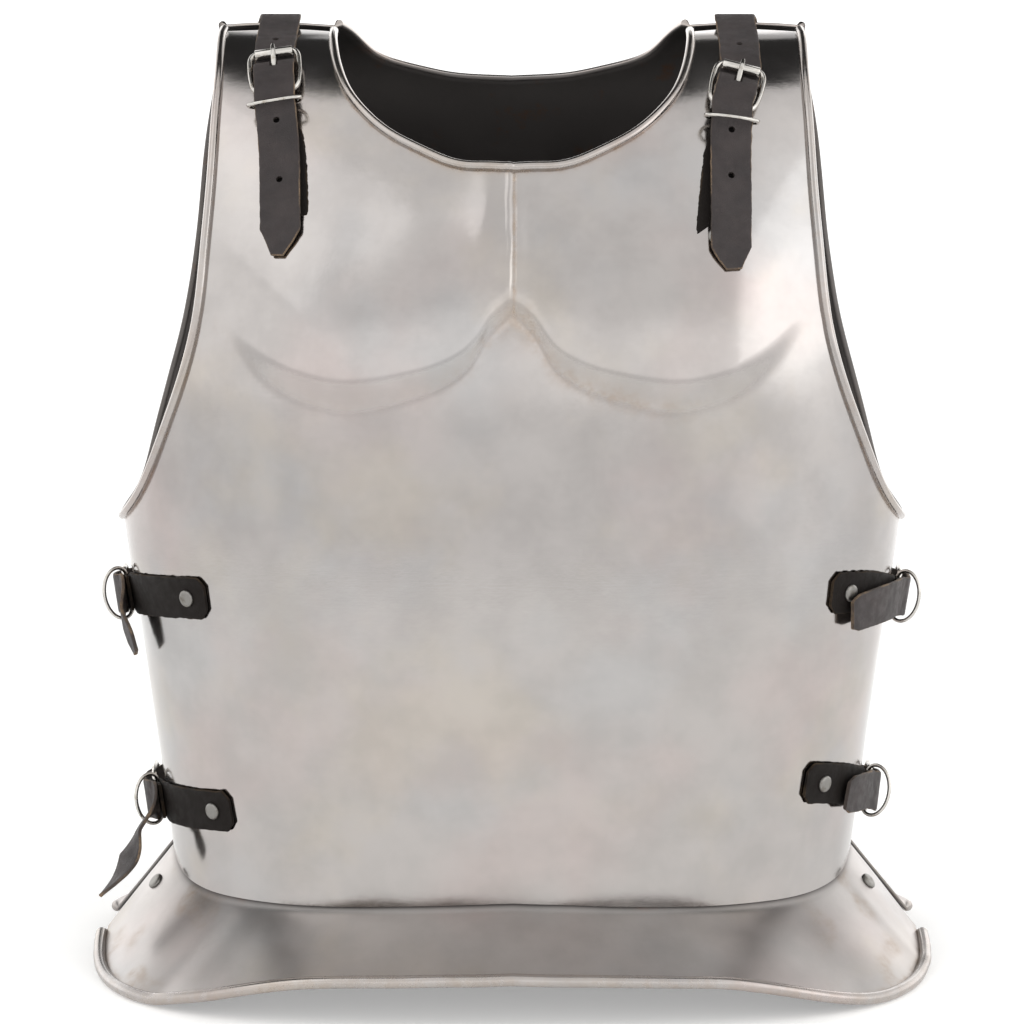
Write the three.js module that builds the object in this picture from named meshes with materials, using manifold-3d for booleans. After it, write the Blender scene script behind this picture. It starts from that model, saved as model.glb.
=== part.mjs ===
// Steel cuirass: breastplate and backplate, a flared skirt under each, joined by two shoulder straps
// and four side straps of leather. Millimetres, +Z up, the chest faces -Y, feet of the skirts at z = 0.
// "left" is the -X side and "right" the +X side, as seen from in front.
import * as THREE from "three";
import Module from "manifold-3d";

const wasm = await Module();
wasm.setup();

// ---- driving dimensions ----
const PLATE = 1.5; // thickness of the steel
const GAP = 0.35; // clearance kept between pieces
const SQUARENESS = 2.5; // exponent of the superellipse sections of both plates
const ROLL = 2.3; // radius of the rolled edge at neck and arms
const SKIRT_ROLL = 3.2; // radius of the rolled lower edge of a skirt
const CHEST = 6.2; // rise of the chest pads
const STERNUM = 0.3; // share of that rise lost in the middle crease

// Sections of a plate: [share of the way up, height, half width, depth].
const FRONT_SECTIONS = [
  [0, 61, 183.5, 116],
  [0.1, 115, 190, 122],
  [0.25, 180, 198, 129],
  [0.4, 250, 207.5, 134],
  [0.55, 320, 211, 134],
  [0.68, 375, 211, 123],
  [0.79, 420, 210, 104],
  [0.87, 455, 209, 82],
  [0.93, 482, 208, 56],
  [0.97, 498, 208, 32],
  [1, 504, 208, 0],
];
const BACK_SECTIONS = [
  [0, 61, 183.5, 105],
  [0.1, 115, 191, 106],
  [0.25, 180, 199, 110],
  [0.4, 250, 209, 116],
  [0.55, 320, 213, 119],
  [0.68, 375, 213, 117],
  [0.79, 420, 212, 108],
  [0.87, 458, 211, 90],
  [0.93, 487, 210, 64],
  [0.97, 503, 210, 36],
  [1, 509, 210, 0],
];

// Edges: [share along the edge, angle round the body, share of the way up].
const FRONT_ARMHOLE = [
  [0, 87, 0.387],
  [0.06, 79, 0.391],
  [0.13, 69.2, 0.401],
  [0.21, 59.2, 0.432],
  [0.31, 52, 0.495],
  [0.42, 46.5, 0.567],
  [0.52, 43.2, 0.65],
  [0.63, 42.3, 0.74],
  [0.74, 41.7, 0.82],
  [0.91, 41.6, 0.93],
  [1, 42, 0.99],
];
const FRONT_NECK = [
  [0, 0, 0.815],
  [0.17, 6.8, 0.818],
  [0.33, 13.2, 0.84],
  [0.44, 17.3, 0.857],
  [0.56, 20.9, 0.882],
  [0.68, 23.6, 0.908],
  [0.86, 25.5, 0.952],
  [1, 26, 0.99],
];
const BACK_ARMHOLE = [
  [0, 87, 0.387],
  [0.05, 79, 0.391],
  [0.11, 70.2, 0.401],
  [0.26, 59.5, 0.49],
  [0.41, 53, 0.588],
  [0.56, 49.4, 0.7],
  [0.76, 47, 0.84],
  [0.88, 44.5, 0.907],
  [1, 42.4, 0.984],
];
const BACK_NECK = [
  [0, 0, 0.904],
  [0.28, 7.9, 0.907],
  [0.53, 14.6, 0.917],
  [0.74, 20.6, 0.933],
  [1, 25.6, 0.984],
];

// The waist edge dips in front of the hips: [angle, share of the way up].
const WAIST = [
  [0, 0],
  [50, -0.011],
  [65, -0.006],
  [80, 0.013],
  [90, 0.019],
];

// Lower edge of the chest pads: [distance from the middle, share of the way up].
const CREASE = [
  [0, 0.65],
  [10, 0.632],
  [22, 0.59],
  [45, 0.563],
  [82, 0.546],
  [105, 0.556],
  [125, 0.58],
  [150, 0.64],
];

// A skirt: collar inside the plate, then a flange out to a rolled lower edge.
const COLLAR = 18;
const COLLAR_GAP = 1; // clearance between collar and plate
const SKIRT_END = 84; // angle where each skirt ends at the hip
const FRONT_HEM = { halfWidth: 220, depth: 158, squareness: 3 };
const BACK_HEM = { halfWidth: 220, depth: 150, squareness: 3 };
const HEM_HEIGHT = [
  [0, 34.5],
  [25, 31.5],
  [40, 19],
  [50, 12],
  [60, 12],
  [72, 16],
  [84, 21],
];

// Straps and their fittings.
const BILLET = { width: 20.5, thick: 2 };
const BILLET_LOW = 1.9; // middle of the billet over the bare plate
const CHAPE = { width: 21.5, fold: 18.4, thick: 1.8 };
const CHAPE_LOW = 1.4; // middle of the chape over the plate
const WIRE = 1.4; // radius of the buckle's wire
const RING_WIRE = 1; // radius of the keeper's wire
const BAR = 5.4; // height of the buckle's bars over the plate
const REACH = 26; // from heel bar to roller bar
const ROLLER = 9.6; // half length of the roller
const KEEPER_MID = 7.95; // height of the keeper's middle over the plate
const KEEPER_HALF = 4.3; // half its height, to the middle of the wire
const KEEPER_SLANT = 0.45; // its top leans toward the tail
const KEEPER_AT = -9; // keeper, past the heel bar
const RIVET = { radius: 4.5, rise: 1.7 };

// ---- small mathematics ----
// Smooth curve through [x, ...values] rows that never overshoots, straight beyond its ends.
function through(rows, column = 1) {
  const x = rows.map((row) => row[0]);
  const y = rows.map((row) => row[column]);
  const last = x.length - 1;
  const rise = x.slice(1).map((value, i) => (y[i + 1] - y[i]) / (value - x[i]));
  const slope = x.map((_, i) => {
    if (i === 0) return rise[0];
    if (i === last) return rise[last - 1];
    const product = rise[i - 1] * rise[i];
    return product <= 0 ? 0 : (2 * product) / (rise[i - 1] + rise[i]);
  });
  return (at) => {
    if (at <= x[0]) return y[0] + slope[0] * (at - x[0]);
    if (at >= x[last]) return y[last] + slope[last] * (at - x[last]);
    const i = Math.max(0, x.findIndex((value) => value > at) - 1);
    const span = x[i + 1] - x[i];
    const t = (at - x[i]) / span;
    const s = 1 - t;
    const start = y[i] * (1 + 2 * t) * s * s + slope[i] * span * t * s * s;
    const end = y[i + 1] * t * t * (3 - 2 * t) - slope[i + 1] * span * t * t * s;
    return start + end;
  };
}

const radians = (degrees) => (degrees * Math.PI) / 180;
const mix = (a, b, t) => a + (b - a) * t;

function ease(value) {
  const t = Math.min(1, Math.max(0, value));
  return t * t * (3 - 2 * t);
}

// Point of a unit superellipse at an angle from the front.
function rounded(angle, power) {
  const s = Math.sin(angle);
  const c = Math.cos(angle);
  const size = (Math.abs(s) ** power + Math.abs(c) ** power) ** (-1 / power);
  return [s * size, c * size];
}

const crease = through(CREASE);
const waist = through(WAIST);
const hemHeight = through(HEM_HEIGHT);

function chestRise(x, up) {
  const away = Math.abs(x);
  const above = (up - crease(away)) * 430;
  const lift = ease((above + 3) / 14) * (1 - ease((above - 25) / 110));
  const width = 1 - ease((away - 105) / 50);
  const middle = 1 - STERNUM * Math.exp(-((x / 9) ** 2));
  return CHEST * lift * width * middle;
}

// A plate's outer skin: angle round the body in degrees, share of the way up.
function skinOf(sections, facing, chest) {
  const height = through(sections, 1);
  const halfWidth = through(sections, 2);
  const depth = through(sections, 3);
  const bare = (angle, up) => {
    const [s, c] = rounded(radians(angle), SQUARENESS);
    const y = facing * depth(up) * c;
    return new THREE.Vector3(halfWidth(up) * s, y, height(up));
  };
  const normal = (angle, up) => {
    const step = 0.004;
    const across = bare(angle + 0.5, up).sub(bare(angle - 0.5, up));
    const top = Math.min(up + step, 0.999);
    const along = bare(angle, top).sub(bare(angle, top - 2 * step));
    return across.cross(along).normalize().multiplyScalar(-facing);
  };
  const point = (angle, up) => {
    const p = bare(angle, up);
    if (!chest) return p;
    return p.addScaledVector(normal(angle, up), chestRise(p.x, up));
  };
  return { point, normal, height, facing };
}

const frontSkin = skinOf(FRONT_SECTIONS, -1, true);
const backSkin = skinOf(BACK_SECTIONS, 1, false);

// ---- solids from sections ----
// Sections are equal loops of points; opposite points pair up to close the two ends.
function sweep(sections, closed = false) {
  const count = sections[0].length;
  const positions = sections.flat().flatMap((p) => [p.x, p.y, p.z]);
  const faces = [];
  const quad = (a, b, c, d) => faces.push(a, b, c, a, c, d);
  const steps = closed ? sections.length : sections.length - 1;
  for (let i = 0; i < steps; i += 1) {
    const here = i * count;
    const next = ((i + 1) % sections.length) * count;
    for (let k = 0; k < count; k += 1) {
      const turn = (k + 1) % count;
      quad(here + k, here + turn, next + turn, next + k);
    }
  }
  const cap = (base, flip) => {
    for (let k = 0; k < count / 2 - 1; k += 1) {
      const ends = [base + k, base + k + 1, base + count - 2 - k, base + count - 1 - k];
      if (!flip) ends.reverse();
      if (ends[1] === ends[2]) faces.push(ends[0], ends[1], ends[3]);
      else quad(...ends);
    }
  };
  if (!closed) {
    cap(0, false);
    cap((sections.length - 1) * count, true);
  }
  return outward(positions, faces);
}

// Turns every face round when the solid would be inside out.
function outward(positions, faces) {
  const corner = (i) => new THREE.Vector3().fromArray(positions, 3 * i);
  let volume = 0;
  for (let i = 0; i < faces.length; i += 3) {
    const [a, b, c] = [faces[i], faces[i + 1], faces[i + 2]].map(corner);
    volume += a.dot(b.cross(c));
  }
  if (volume < 0) faces.reverse();
  const geometry = new THREE.BufferGeometry();
  geometry.setAttribute("position", new THREE.Float32BufferAttribute(positions, 3));
  geometry.setIndex(faces);
  return geometry;
}

const solidOf = (geometry) =>
  new wasm.Manifold(
    new wasm.Mesh({
      numProp: 3,
      vertProperties: geometry.attributes.position.array,
      triVerts: new Uint32Array(geometry.index.array),
    }),
  );

// Takes the cutters away from a piece.
function cutAway(geometry, cutters) {
  let solid = solidOf(geometry);
  for (const cutter of cutters) solid = solid.subtract(solidOf(cutter));
  const mesh = solid.getMesh();
  const cut = new THREE.BufferGeometry();
  cut.setAttribute("position", new THREE.BufferAttribute(mesh.vertProperties, 3));
  cut.setIndex(new THREE.BufferAttribute(mesh.triVerts, 1));
  return cut;
}

// The rolled edge: a bead of radius r past the skin's edge, from outer face to inner face.
function bead(edge, out, normal, thick, r, steps) {
  const reach = Math.sqrt(Math.max(0, 2 * r * thick - thick * thick));
  const centre = edge.clone().addScaledVector(out, reach).addScaledVector(normal, r - thick);
  const from = Math.PI + Math.asin((r - thick) / r);
  const points = [];
  for (let k = 1; k <= steps; k += 1) {
    const angle = mix(from, -Math.PI / 2, k / steps);
    const p = centre.clone().addScaledVector(out, r * Math.cos(angle));
    points.push(p.addScaledVector(normal, r * Math.sin(angle)));
  }
  return points;
}

// ---- plates ----
// Columns of a plate from its left side over the middle to its right side.
function columnsOf(armhole, neck, counts) {
  const half = [];
  const arm = [through(armhole, 1), through(armhole, 2)];
  const collar = [through(neck, 1), through(neck, 2)];
  const [arms, tabs, necks] = counts;
  const add = (angle, up, foot, roll) => half.push({ angle, up, foot, roll });
  for (let i = 0; i < arms; i += 1) {
    const t = Math.min(i / (arms - 1), 0.992);
    add(arm[0](t), arm[1](t), mix(87, 47, i / (arms - 1)), ROLL);
  }
  for (let i = 0; i <= tabs; i += 1) {
    const t = i / tabs;
    const angle = mix(arm[0](1), collar[0](1), t);
    const crown = 0.006 * Math.sin(Math.PI * t);
    add(angle, mix(arm[1](1), collar[1](1), t) + crown, mix(46, 27, t), PLATE / 2);
  }
  for (let i = 0; i < necks; i += 1) {
    const t = Math.min(1 - i / (necks - 1), 0.985);
    add(collar[0](t), collar[1](t), mix(26, 0, i / (necks - 1)), ROLL);
  }
  const other = half.slice(0, -1).reverse();
  const left = half.map((c) => ({ ...c, angle: -c.angle, foot: -c.foot }));
  return [...left, ...other];
}

function plate(skin, columns, rows, beads) {
  const tops = columns.map((c) => skin.point(c.angle, c.up));
  const sections = columns.map((c, i) => {
    const outer = [];
    const inner = [];
    const bottom = waist(Math.abs(c.foot));
    for (const v of rows) {
      const angle = mix(c.foot, c.angle, v);
      const up = mix(bottom, c.up, v);
      const p = skin.point(angle, up);
      outer.push(p);
      inner.push(p.clone().addScaledVector(skin.normal(angle, up), -PLATE));
    }
    const normal = skin.normal(c.angle, c.up);
    const before = tops[Math.max(0, i - 1)];
    const after = tops[Math.min(columns.length - 1, i + 1)];
    const out = after.clone().sub(before).cross(normal).multiplyScalar(skin.facing).normalize();
    const roll = bead(outer.at(-1), out, normal, PLATE, c.roll, beads);
    return [...outer, ...roll, ...inner.reverse()];
  });
  return sweep(sections);
}

const FRONT_ROWS = [0, 0.1, 0.2, 0.3, 0.4, 0.5, 0.58, 0.65, 0.73, 0.82, 0.91, 1];
const BACK_ROWS = [0, 0.17, 0.34, 0.5, 0.65, 0.78, 0.9, 1];

// ---- skirts ----
// Section of a skirt at one angle: collar, bend, flange and roll, outer face first.
function skirtSection(skin, hem, facing, angle) {
  const foot = waist(Math.abs(angle));
  const bend = skin.height(foot) - 1.2;
  const collarUp = foot + COLLAR / 540;
  const sunk = -(PLATE + COLLAR_GAP);
  const offset = (up, away) =>
    skin.point(angle, up).addScaledVector(skin.normal(angle, up), away);
  const [s, c] = rounded(radians(angle), hem.squareness);
  const start = offset(foot, sunk).setZ(bend);
  const hemAt = [hem.halfWidth * s, facing * hem.depth * c, hemHeight(Math.abs(angle))];
  const goal = new THREE.Vector3(...hemAt);
  const run = goal.sub(start);
  const flat = new THREE.Vector3(run.x, run.y, 0).normalize();
  const down = run.clone().normalize();
  const face = flat.clone().multiplyScalar(-down.z).setZ(flat.dot(down));
  const inset = PLATE * Math.tan(Math.acos(face.z) / 2);
  const outer = [offset(collarUp, sunk), offset(foot + 0.008, sunk), start];
  const inner = [offset(collarUp, sunk - PLATE), offset(foot + 0.008, sunk - PLATE)];
  inner.push(start.clone().addScaledVector(face, -PLATE).addScaledVector(down, -inset));
  for (const t of [0.5, 1]) {
    const p = start.clone().addScaledVector(run, t);
    outer.push(p);
    inner.push(p.clone().addScaledVector(face, -PLATE));
  }
  const roll = bead(outer.at(-1), down, face, PLATE, SKIRT_ROLL, 5);
  return { loop: [...outer, ...roll, ...inner.reverse()], start, run, face };
}

function skirt(skin, hem, facing, steps) {
  const sections = [];
  for (let i = 0; i <= steps; i += 1) {
    const t = (2 * i) / steps - 1;
    const spread = Math.sign(t) * Math.abs(t) ** 0.85;
    sections.push(skirtSection(skin, hem, facing, SKIRT_END * spread).loop);
  }
  return sweep(sections);
}

// ---- straps ----
// A line over the plates that a strap follows: frames by distance from its first knot.
function lineThrough(knots) {
  const path = new THREE.CatmullRomCurve3(knots.map((k) => k.p), false, "centripetal");
  const lean = new THREE.CatmullRomCurve3(knots.map((k) => k.n), false, "centripetal");
  path.arcLengthDivisions = 600;
  const length = path.getLength();
  return (distance) => {
    const u = Math.min(1, Math.max(0, distance / length));
    const t = path.getUtoTmapping(u);
    const along = path.getTangent(t);
    const normal = lean.getPoint(t);
    normal.addScaledVector(along, -normal.dot(along)).normalize();
    const across = along.clone().cross(normal);
    const p = path.getPoint(t).addScaledVector(along, distance - u * length);
    return { p, along, across, normal };
  };
}

const place = (frame, s, c, h) =>
  frame.p
    .clone()
    .addScaledVector(frame.along, s)
    .addScaledVector(frame.across, c)
    .addScaledVector(frame.normal, h);

// Band of leather through knots {p, n, w}: position, face direction and width.
function band(knots, thick) {
  const path = new THREE.CatmullRomCurve3(knots.map((k) => k.p), false, "centripetal");
  const lean = new THREE.CatmullRomCurve3(knots.map((k) => k.n), false, "centripetal");
  const spans = knots.length - 1;
  const sections = knots.map((knot, i) => {
    const t = i / spans;
    const along = path.getTangent(t);
    const normal = lean.getPoint(t);
    normal.addScaledVector(along, -normal.dot(along)).normalize();
    const across = along.clone().cross(normal);
    const frame = { p: path.getPoint(t), along, across, normal };
    const half = knot.w / 2;
    const h = thick / 2;
    const corners = [
      [-half, h],
      [half, h],
      [half, -h],
      [-half, -h],
    ];
    return corners.map(([c, up]) => place(frame, 0, c, up));
  });
  return sweep(sections);
}

// Round wire along a path of points with five or more sides.
function wire(points, radius, sides, closed) {
  const count = points.length;
  const middle = points.reduce((sum, p) => sum.add(p), new THREE.Vector3()).divideScalar(count);
  const flat = points[1].clone().sub(points[0]);
  const plane = flat.cross(points[Math.floor(count / 3)].clone().sub(middle)).normalize();
  const sections = points.map((p, i) => {
    const before = closed ? points[(i + count - 1) % count] : points[Math.max(0, i - 1)];
    const after = closed ? points[(i + 1) % count] : points[Math.min(count - 1, i + 1)];
    const along = after.clone().sub(before).normalize();
    const out = along.clone().cross(plane).normalize();
    const loop = [];
    for (let k = 0; k < sides; k += 1) {
      const angle = (2 * Math.PI * k) / sides;
      const q = p.clone().addScaledVector(out, radius * Math.cos(angle));
      loop.push(q.addScaledVector(plane, radius * Math.sin(angle)));
    }
    return loop;
  });
  return sweep(sections, closed);
}

// Buckle frame in its own plane: straight heel bar and roller bar, sides that belly out.
const FRAME_HALF = [
  [0, 4.5],
  [0, 9.3],
  [2.4, 11.2],
  [9, 12.4],
  [17, 12.7],
  [23, 12.2],
  [REACH, 10.2],
  [REACH, 4.5],
];

function buckleFrame(local) {
  const left = FRAME_HALF.map(([s, c]) => local(s, -c, BAR));
  const right = [...FRAME_HALF].reverse().map(([s, c]) => local(s, c, BAR));
  return wire([...left, ...right], WIRE, 5, true);
}

// Tube round the roller bar.
function roller(local) {
  const sections = [];
  for (let k = 0; k < 8; k += 1) {
    const angle = (2 * Math.PI * k) / 8;
    const loop = [
      [WIRE + GAP + 0.1, -ROLLER],
      [WIRE + GAP + 0.9, -ROLLER],
      [WIRE + GAP + 0.9, ROLLER],
      [WIRE + GAP + 0.1, ROLLER],
    ];
    sections.push(
      loop.map(([r, c]) => local(REACH + r * Math.cos(angle), c, BAR + r * Math.sin(angle))),
    );
  }
  return sweep(sections, true);
}

// Tongue: an open eye round the heel bar, then a shank that rests on the roller.
function tongue(local) {
  const eye = WIRE + GAP + 0.65;
  const path = [];
  for (let k = 0; k <= 5; k += 1) {
    const angle = radians(mix(-30, -250, k / 5));
    path.push([eye * Math.cos(angle), BAR + eye * Math.sin(angle)]);
  }
  path.push([6, BAR + 2.45], [15, BAR + 2.3], [22, BAR + 3.2]);
  path.push([REACH, BAR + 3.5], [REACH + 3.5, BAR + 3.3]);
  const sections = path.map(([s, h], i) => {
    const [s0, h0] = path[Math.max(0, i - 1)];
    const [s1, h1] = path[Math.min(path.length - 1, i + 1)];
    const size = Math.hypot(s1 - s0, h1 - h0);
    const up = [(-(h1 - h0) / size) * 0.6, ((s1 - s0) / size) * 0.6];
    const half = i < path.length - 1 ? 1.3 : 0.9;
    return [
      local(s + up[0], -half, h + up[1]),
      local(s + up[0], half, h + up[1]),
      local(s - up[0], half, h - up[1]),
      local(s - up[0], -half, h - up[1]),
    ];
  });
  return sweep(sections);
}

// Oval ring round the folded chape and the billet.
function keeper(line, bar) {
  const frame = line(bar + KEEPER_AT);
  const points = [];
  for (const side of [1, -1]) {
    for (let k = 0; k < 6; k += 1) {
      const angle = radians(mix(90, -90, k / 5)) + (side < 0 ? Math.PI : 0);
      const c = side * 9.2 + KEEPER_HALF * Math.cos(angle);
      const v = KEEPER_HALF * Math.sin(angle);
      points.push(place(frame, -v * KEEPER_SLANT, c, KEEPER_MID + v));
    }
  }
  return wire(points, RING_WIRE, 5, true);
}

// Domed rivet head standing on a face.
function rivet(frame, s, c, h) {
  const profile = [
    [0, RIVET.rise],
    [0.7, 0.75 * RIVET.rise],
    [1, 0],
  ];
  const dome = profile.map(([r, z]) => new THREE.Vector2(r * RIVET.radius, z));
  const outline = [new THREE.Vector2(0, 0), ...dome.slice(1).reverse(), dome[0]];
  const geometry = new THREE.LatheGeometry(outline, 8);
  const third = frame.along.clone().cross(frame.normal);
  const turn = new THREE.Matrix4().makeBasis(frame.along, frame.normal, third);
  geometry.applyMatrix4(turn.setPosition(place(frame, s, c, h)));
  return geometry;
}

// A box in a strap's own directions, used as a cutter.
function slot(local, [s0, s1], [c0, c1], [h0, h1]) {
  const loop = (s) => [local(s, c0, h0), local(s, c1, h0), local(s, c1, h1), local(s, c0, h1)];
  return sweep([loop(s0), loop(s1)]);
}

// Round hole through a band at a frame.
function punch(frame, c, h, radius) {
  const sections = [-6, 6].map((depth) => {
    const loop = [];
    for (let k = 0; k < 8; k += 1) {
      const angle = (2 * Math.PI * (k + 0.5)) / 8;
      loop.push(place(frame, radius * Math.cos(angle), c + radius * Math.sin(angle), h + depth));
    }
    return loop;
  });
  return sweep(sections);
}

// First distance along a line where a test holds.
function reach(line, test) {
  let distance = 0;
  while (distance < 400 && !test(line(distance).p)) distance += 0.5;
  return distance;
}

// Folded strap that holds the buckle: lower layer, loop round the heel bar, short upper layer.
function chapeOf(spec, tools) {
  const { along, local, rigid } = tools;
  const low = CHAPE_LOW;
  const loop = WIRE + GAP + 0.15 + CHAPE.thick / 2;
  const lean = (s) => spec.drift * Math.max(0, -s - 12);
  const knots = [];
  const corner = spec.chapeEnd + 4;
  knots.push({ ...along(spec.chapeEnd, low, lean(spec.chapeEnd)), w: spec.chapeTip });
  for (let i = 0; i <= 6; i += 1) {
    const s = mix(corner, -26, i / 6);
    knots.push({ ...along(s, low, lean(s)), w: CHAPE.width });
  }
  knots.push({ ...along(-16, low, lean(-16)), w: CHAPE.fold });
  knots.push({ ...along(-7, low + 0.2), w: CHAPE.fold });
  for (const degrees of [-90, -60, -30, 0, 30, 60, 90]) {
    const angle = radians(degrees);
    const p = local(loop * Math.cos(angle), 0, BAR + loop * Math.sin(angle));
    const n = rigid.along.clone().multiplyScalar(-Math.cos(angle));
    knots.push({ p, n: n.addScaledVector(rigid.normal, -Math.sin(angle)), w: CHAPE.fold });
  }
  const over = [
    [-8, 6.6],
    [-12, 4.6],
    [-17, low + CHAPE.thick + 0.5],
    [-23, low + CHAPE.thick + 0.45],
  ];
  for (const [s, h] of over) {
    const { p, n } = along(s, h);
    knots.push({ p, n: n.negate(), w: CHAPE.fold });
  }
  const gap = slot(local, [-4.6, 5], [-1.8, 1.8], [-2, 12]);
  return cutAway(band(knots, CHAPE.thick), [gap]);
}

// Strap with the holes: tail, over the heel bar, under the roller and on to the back plate.
function billetOf(spec, tools) {
  const { along, near } = tools;
  const stack = [
    [-21, 6.3],
    [-14, 7.2],
    [-8.5, 9.1],
  ].map(([s, h]) => along(s, h));
  const crossing = [
    [-3, 10.5],
    [3, 10.5],
    [9, BAR + 4.7],
    [14, BAR + 3.7],
    [17, BAR + 2],
    [20, BAR - 1.5],
    [23, BAR - 3.8],
    [REACH, BAR - 4.15],
    [REACH + 4, BAR - 4.1],
  ].map(([s, h]) => near(s, h));
  const rest = spec.backRuns.map((s) => along(s, BILLET_LOW));
  const full = [...stack, ...crossing, ...rest].map((k) => ({ ...k, w: BILLET.width }));
  const cutters = [slot(tools.local, [12.1, 21], [-1.75, 1.75], [0, 14])];
  for (const [s, h] of spec.holes) cutters.push(punch(spec.line(spec.bar + s), 0, h, 1.7));
  return cutAway(band([...spec.tail(tools), ...full], BILLET.thick), cutters);
}

// One strap with its buckle. spec: line, bar (place of the heel bar along the line), drift (sideways
// lean of the chape per mm), chapeEnd, rivets, tail and holes, all measured from the heel bar.
function strapSet(name, spec) {
  const rigid = spec.line(spec.bar + REACH / 2);
  const local = (s, c, h) => place(rigid, s - REACH / 2, c, h);
  const near = (s, h) => ({ p: local(s, 0, h), n: rigid.normal.clone() });
  const along = (s, h, c = 0) => {
    const frame = spec.line(spec.bar + s);
    return { p: place(frame, 0, c, h), n: frame.normal.clone() };
  };
  const tools = { rigid, local, near, along };
  const front = spec.line(spec.bar + spec.frontRivet);
  const back = spec.line(spec.bar + spec.backRivet);
  const shift = spec.drift * Math.max(0, -spec.frontRivet - 12);
  add(`${name}_billet`, billetOf(spec, tools), "leather");
  add(`${name}_chape`, chapeOf(spec, tools), "leather");
  add(`${name}_buckle`, buckleFrame(local), "nickel");
  add(`${name}_roller`, roller(local), "nickel");
  add(`${name}_tongue`, tongue(local), "nickel");
  add(`${name}_keeper`, keeper(spec.line, spec.bar), "nickel");
  add(`${name}_front_rivet`, rivet(front, 0, shift, CHAPE_LOW + CHAPE.thick / 2 + GAP), "nickel");
  add(`${name}_back_rivet`, rivet(back, 0, 0, BILLET_LOW + BILLET.thick / 2 + GAP), "nickel");
}

// ---- assembly ----
const MATERIALS = {
  steel: { color: 0xb9b2ac, metalness: 1, roughness: 0.42 },
  leather: { color: 0x4a4547, metalness: 0, roughness: 0.7 },
  nickel: { color: 0xd0cbc2, metalness: 1, roughness: 0.25 },
};
const cuirass = new THREE.Group();

function add(name, geometry, slotName) {
  const mesh = new THREE.Mesh(geometry, new THREE.MeshStandardMaterial(MATERIALS[slotName]));
  mesh.material.name = slotName;
  mesh.name = name;
  cuirass.add(mesh);
}

const frontColumns = columnsOf(FRONT_ARMHOLE, FRONT_NECK, [10, 2, 8]);
const backColumns = columnsOf(BACK_ARMHOLE, BACK_NECK, [8, 2, 5]);
add("breastplate", plate(frontSkin, frontColumns, FRONT_ROWS, 4), "steel");
add("backplate", plate(backSkin, backColumns, BACK_ROWS, 4), "steel");
add("front_skirt", skirt(frontSkin, FRONT_HEM, -1, 22), "steel");
add("back_skirt", skirt(backSkin, BACK_HEM, 1, 22), "steel");

// Rivets at the end corners of the skirts.
for (const [where, skin, hem, facing] of [
  ["front", frontSkin, FRONT_HEM, -1],
  ["back", backSkin, BACK_HEM, 1],
]) {
  for (const side of [-1, 1]) {
    const spot = (angle) => {
      const { start, run } = skirtSection(skin, hem, facing, side * angle);
      return start.addScaledVector(run, 0.22);
    };
    const { run, face } = skirtSection(skin, hem, facing, side * 76);
    const along = run.clone().normalize();
    const normal = along.clone().cross(spot(80).sub(spot(72))).normalize();
    if (normal.dot(face) < 0) normal.negate();
    const frame = { p: spot(76), along, normal, across: along.clone().cross(normal) };
    add(`${where}_skirt_${side < 0 ? "left" : "right"}_rivet`, rivet(frame, 0, 0, 0.6), "nickel");
  }
}

const on = (skin, angle, up) => ({ p: skin.point(angle, up), n: skin.normal(angle, up) });

// Shoulder straps: [angle, share of the way up] on the front, then over the crest to the back.
function shoulderLine(side, front) {
  const knots = front.map(([angle, up]) => on(frontSkin, side * angle, up));
  const top = knots.at(-1).p.x;
  knots.push({ p: new THREE.Vector3(top, 3, 508.5), n: new THREE.Vector3(0, 0, 1) });
  const backAngle = Math.abs(top) * 0.281;
  for (const up of [0.975, 0.94, 0.9, 0.87, 0.84]) knots.push(on(backSkin, side * backAngle, up));
  return lineThrough(knots);
}

const leftShoulder = shoulderLine(-1, [
  [30.6, 0.69],
  [30.9, 0.76],
  [31.4, 0.83],
  [32.3, 0.88],
  [33, 0.92],
  [33.5, 0.95],
  [33.5, 0.984],
]);
const rightShoulder = shoulderLine(1, [
  [28.8, 0.68],
  [29.1, 0.75],
  [29.4, 0.82],
  [30, 0.88],
  [31.2, 0.91],
  [32, 0.94],
  [32.2, 0.984],
]);

// Hanging tail of a shoulder billet, cut to a point.
const hanging = (tip, slant, width, cut) => (tools) =>
  [
    [tip, slant, width],
    [tip + cut, 0, BILLET.width],
    [tip + 31, 0, BILLET.width],
    [tip + 48, 0, BILLET.width],
    [tip + 64, 0, BILLET.width],
  ].map(([s, c, w]) => ({ ...tools.along(s, 6.1, c), w }));

const shoulderRuns = [38, 48, 58, 68, 78, 88, 98, 108, 116];
strapSet("left_shoulder", {
  line: leftShoulder,
  bar: reach(leftShoulder, (p) => p.z > 468),
  drift: 0.05,
  chapeEnd: -71,
  chapeTip: 20,
  frontRivet: -60,
  backRivet: 107,
  backRuns: shoulderRuns,
  tail: hanging(-91, -1.5, 6, 13),
  holes: [[-52, 6.1], [-19, 6.4], [43, 1.7]],
});
strapSet("right_shoulder", {
  line: rightShoulder,
  bar: reach(rightShoulder, (p) => p.z > 460.5),
  drift: -0.11,
  chapeEnd: -80,
  chapeTip: 20,
  frontRivet: -71,
  backRivet: 116,
  backRuns: [...shoulderRuns, 125],
  tail: hanging(-88, 1.5, 8, 11),
  holes: [[-40, 6.1], [-15, 6.9], [50, 1.7]],
});

// Side straps: front angles and heights, round the gap, then on to the back plate.
function sideLine(side, front, back) {
  const knots = front.map(([angle, up]) => on(frontSkin, side * angle, up));
  for (const [angle, up] of back) knots.push(on(backSkin, side * angle, up));
  return lineThrough(knots);
}

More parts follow.
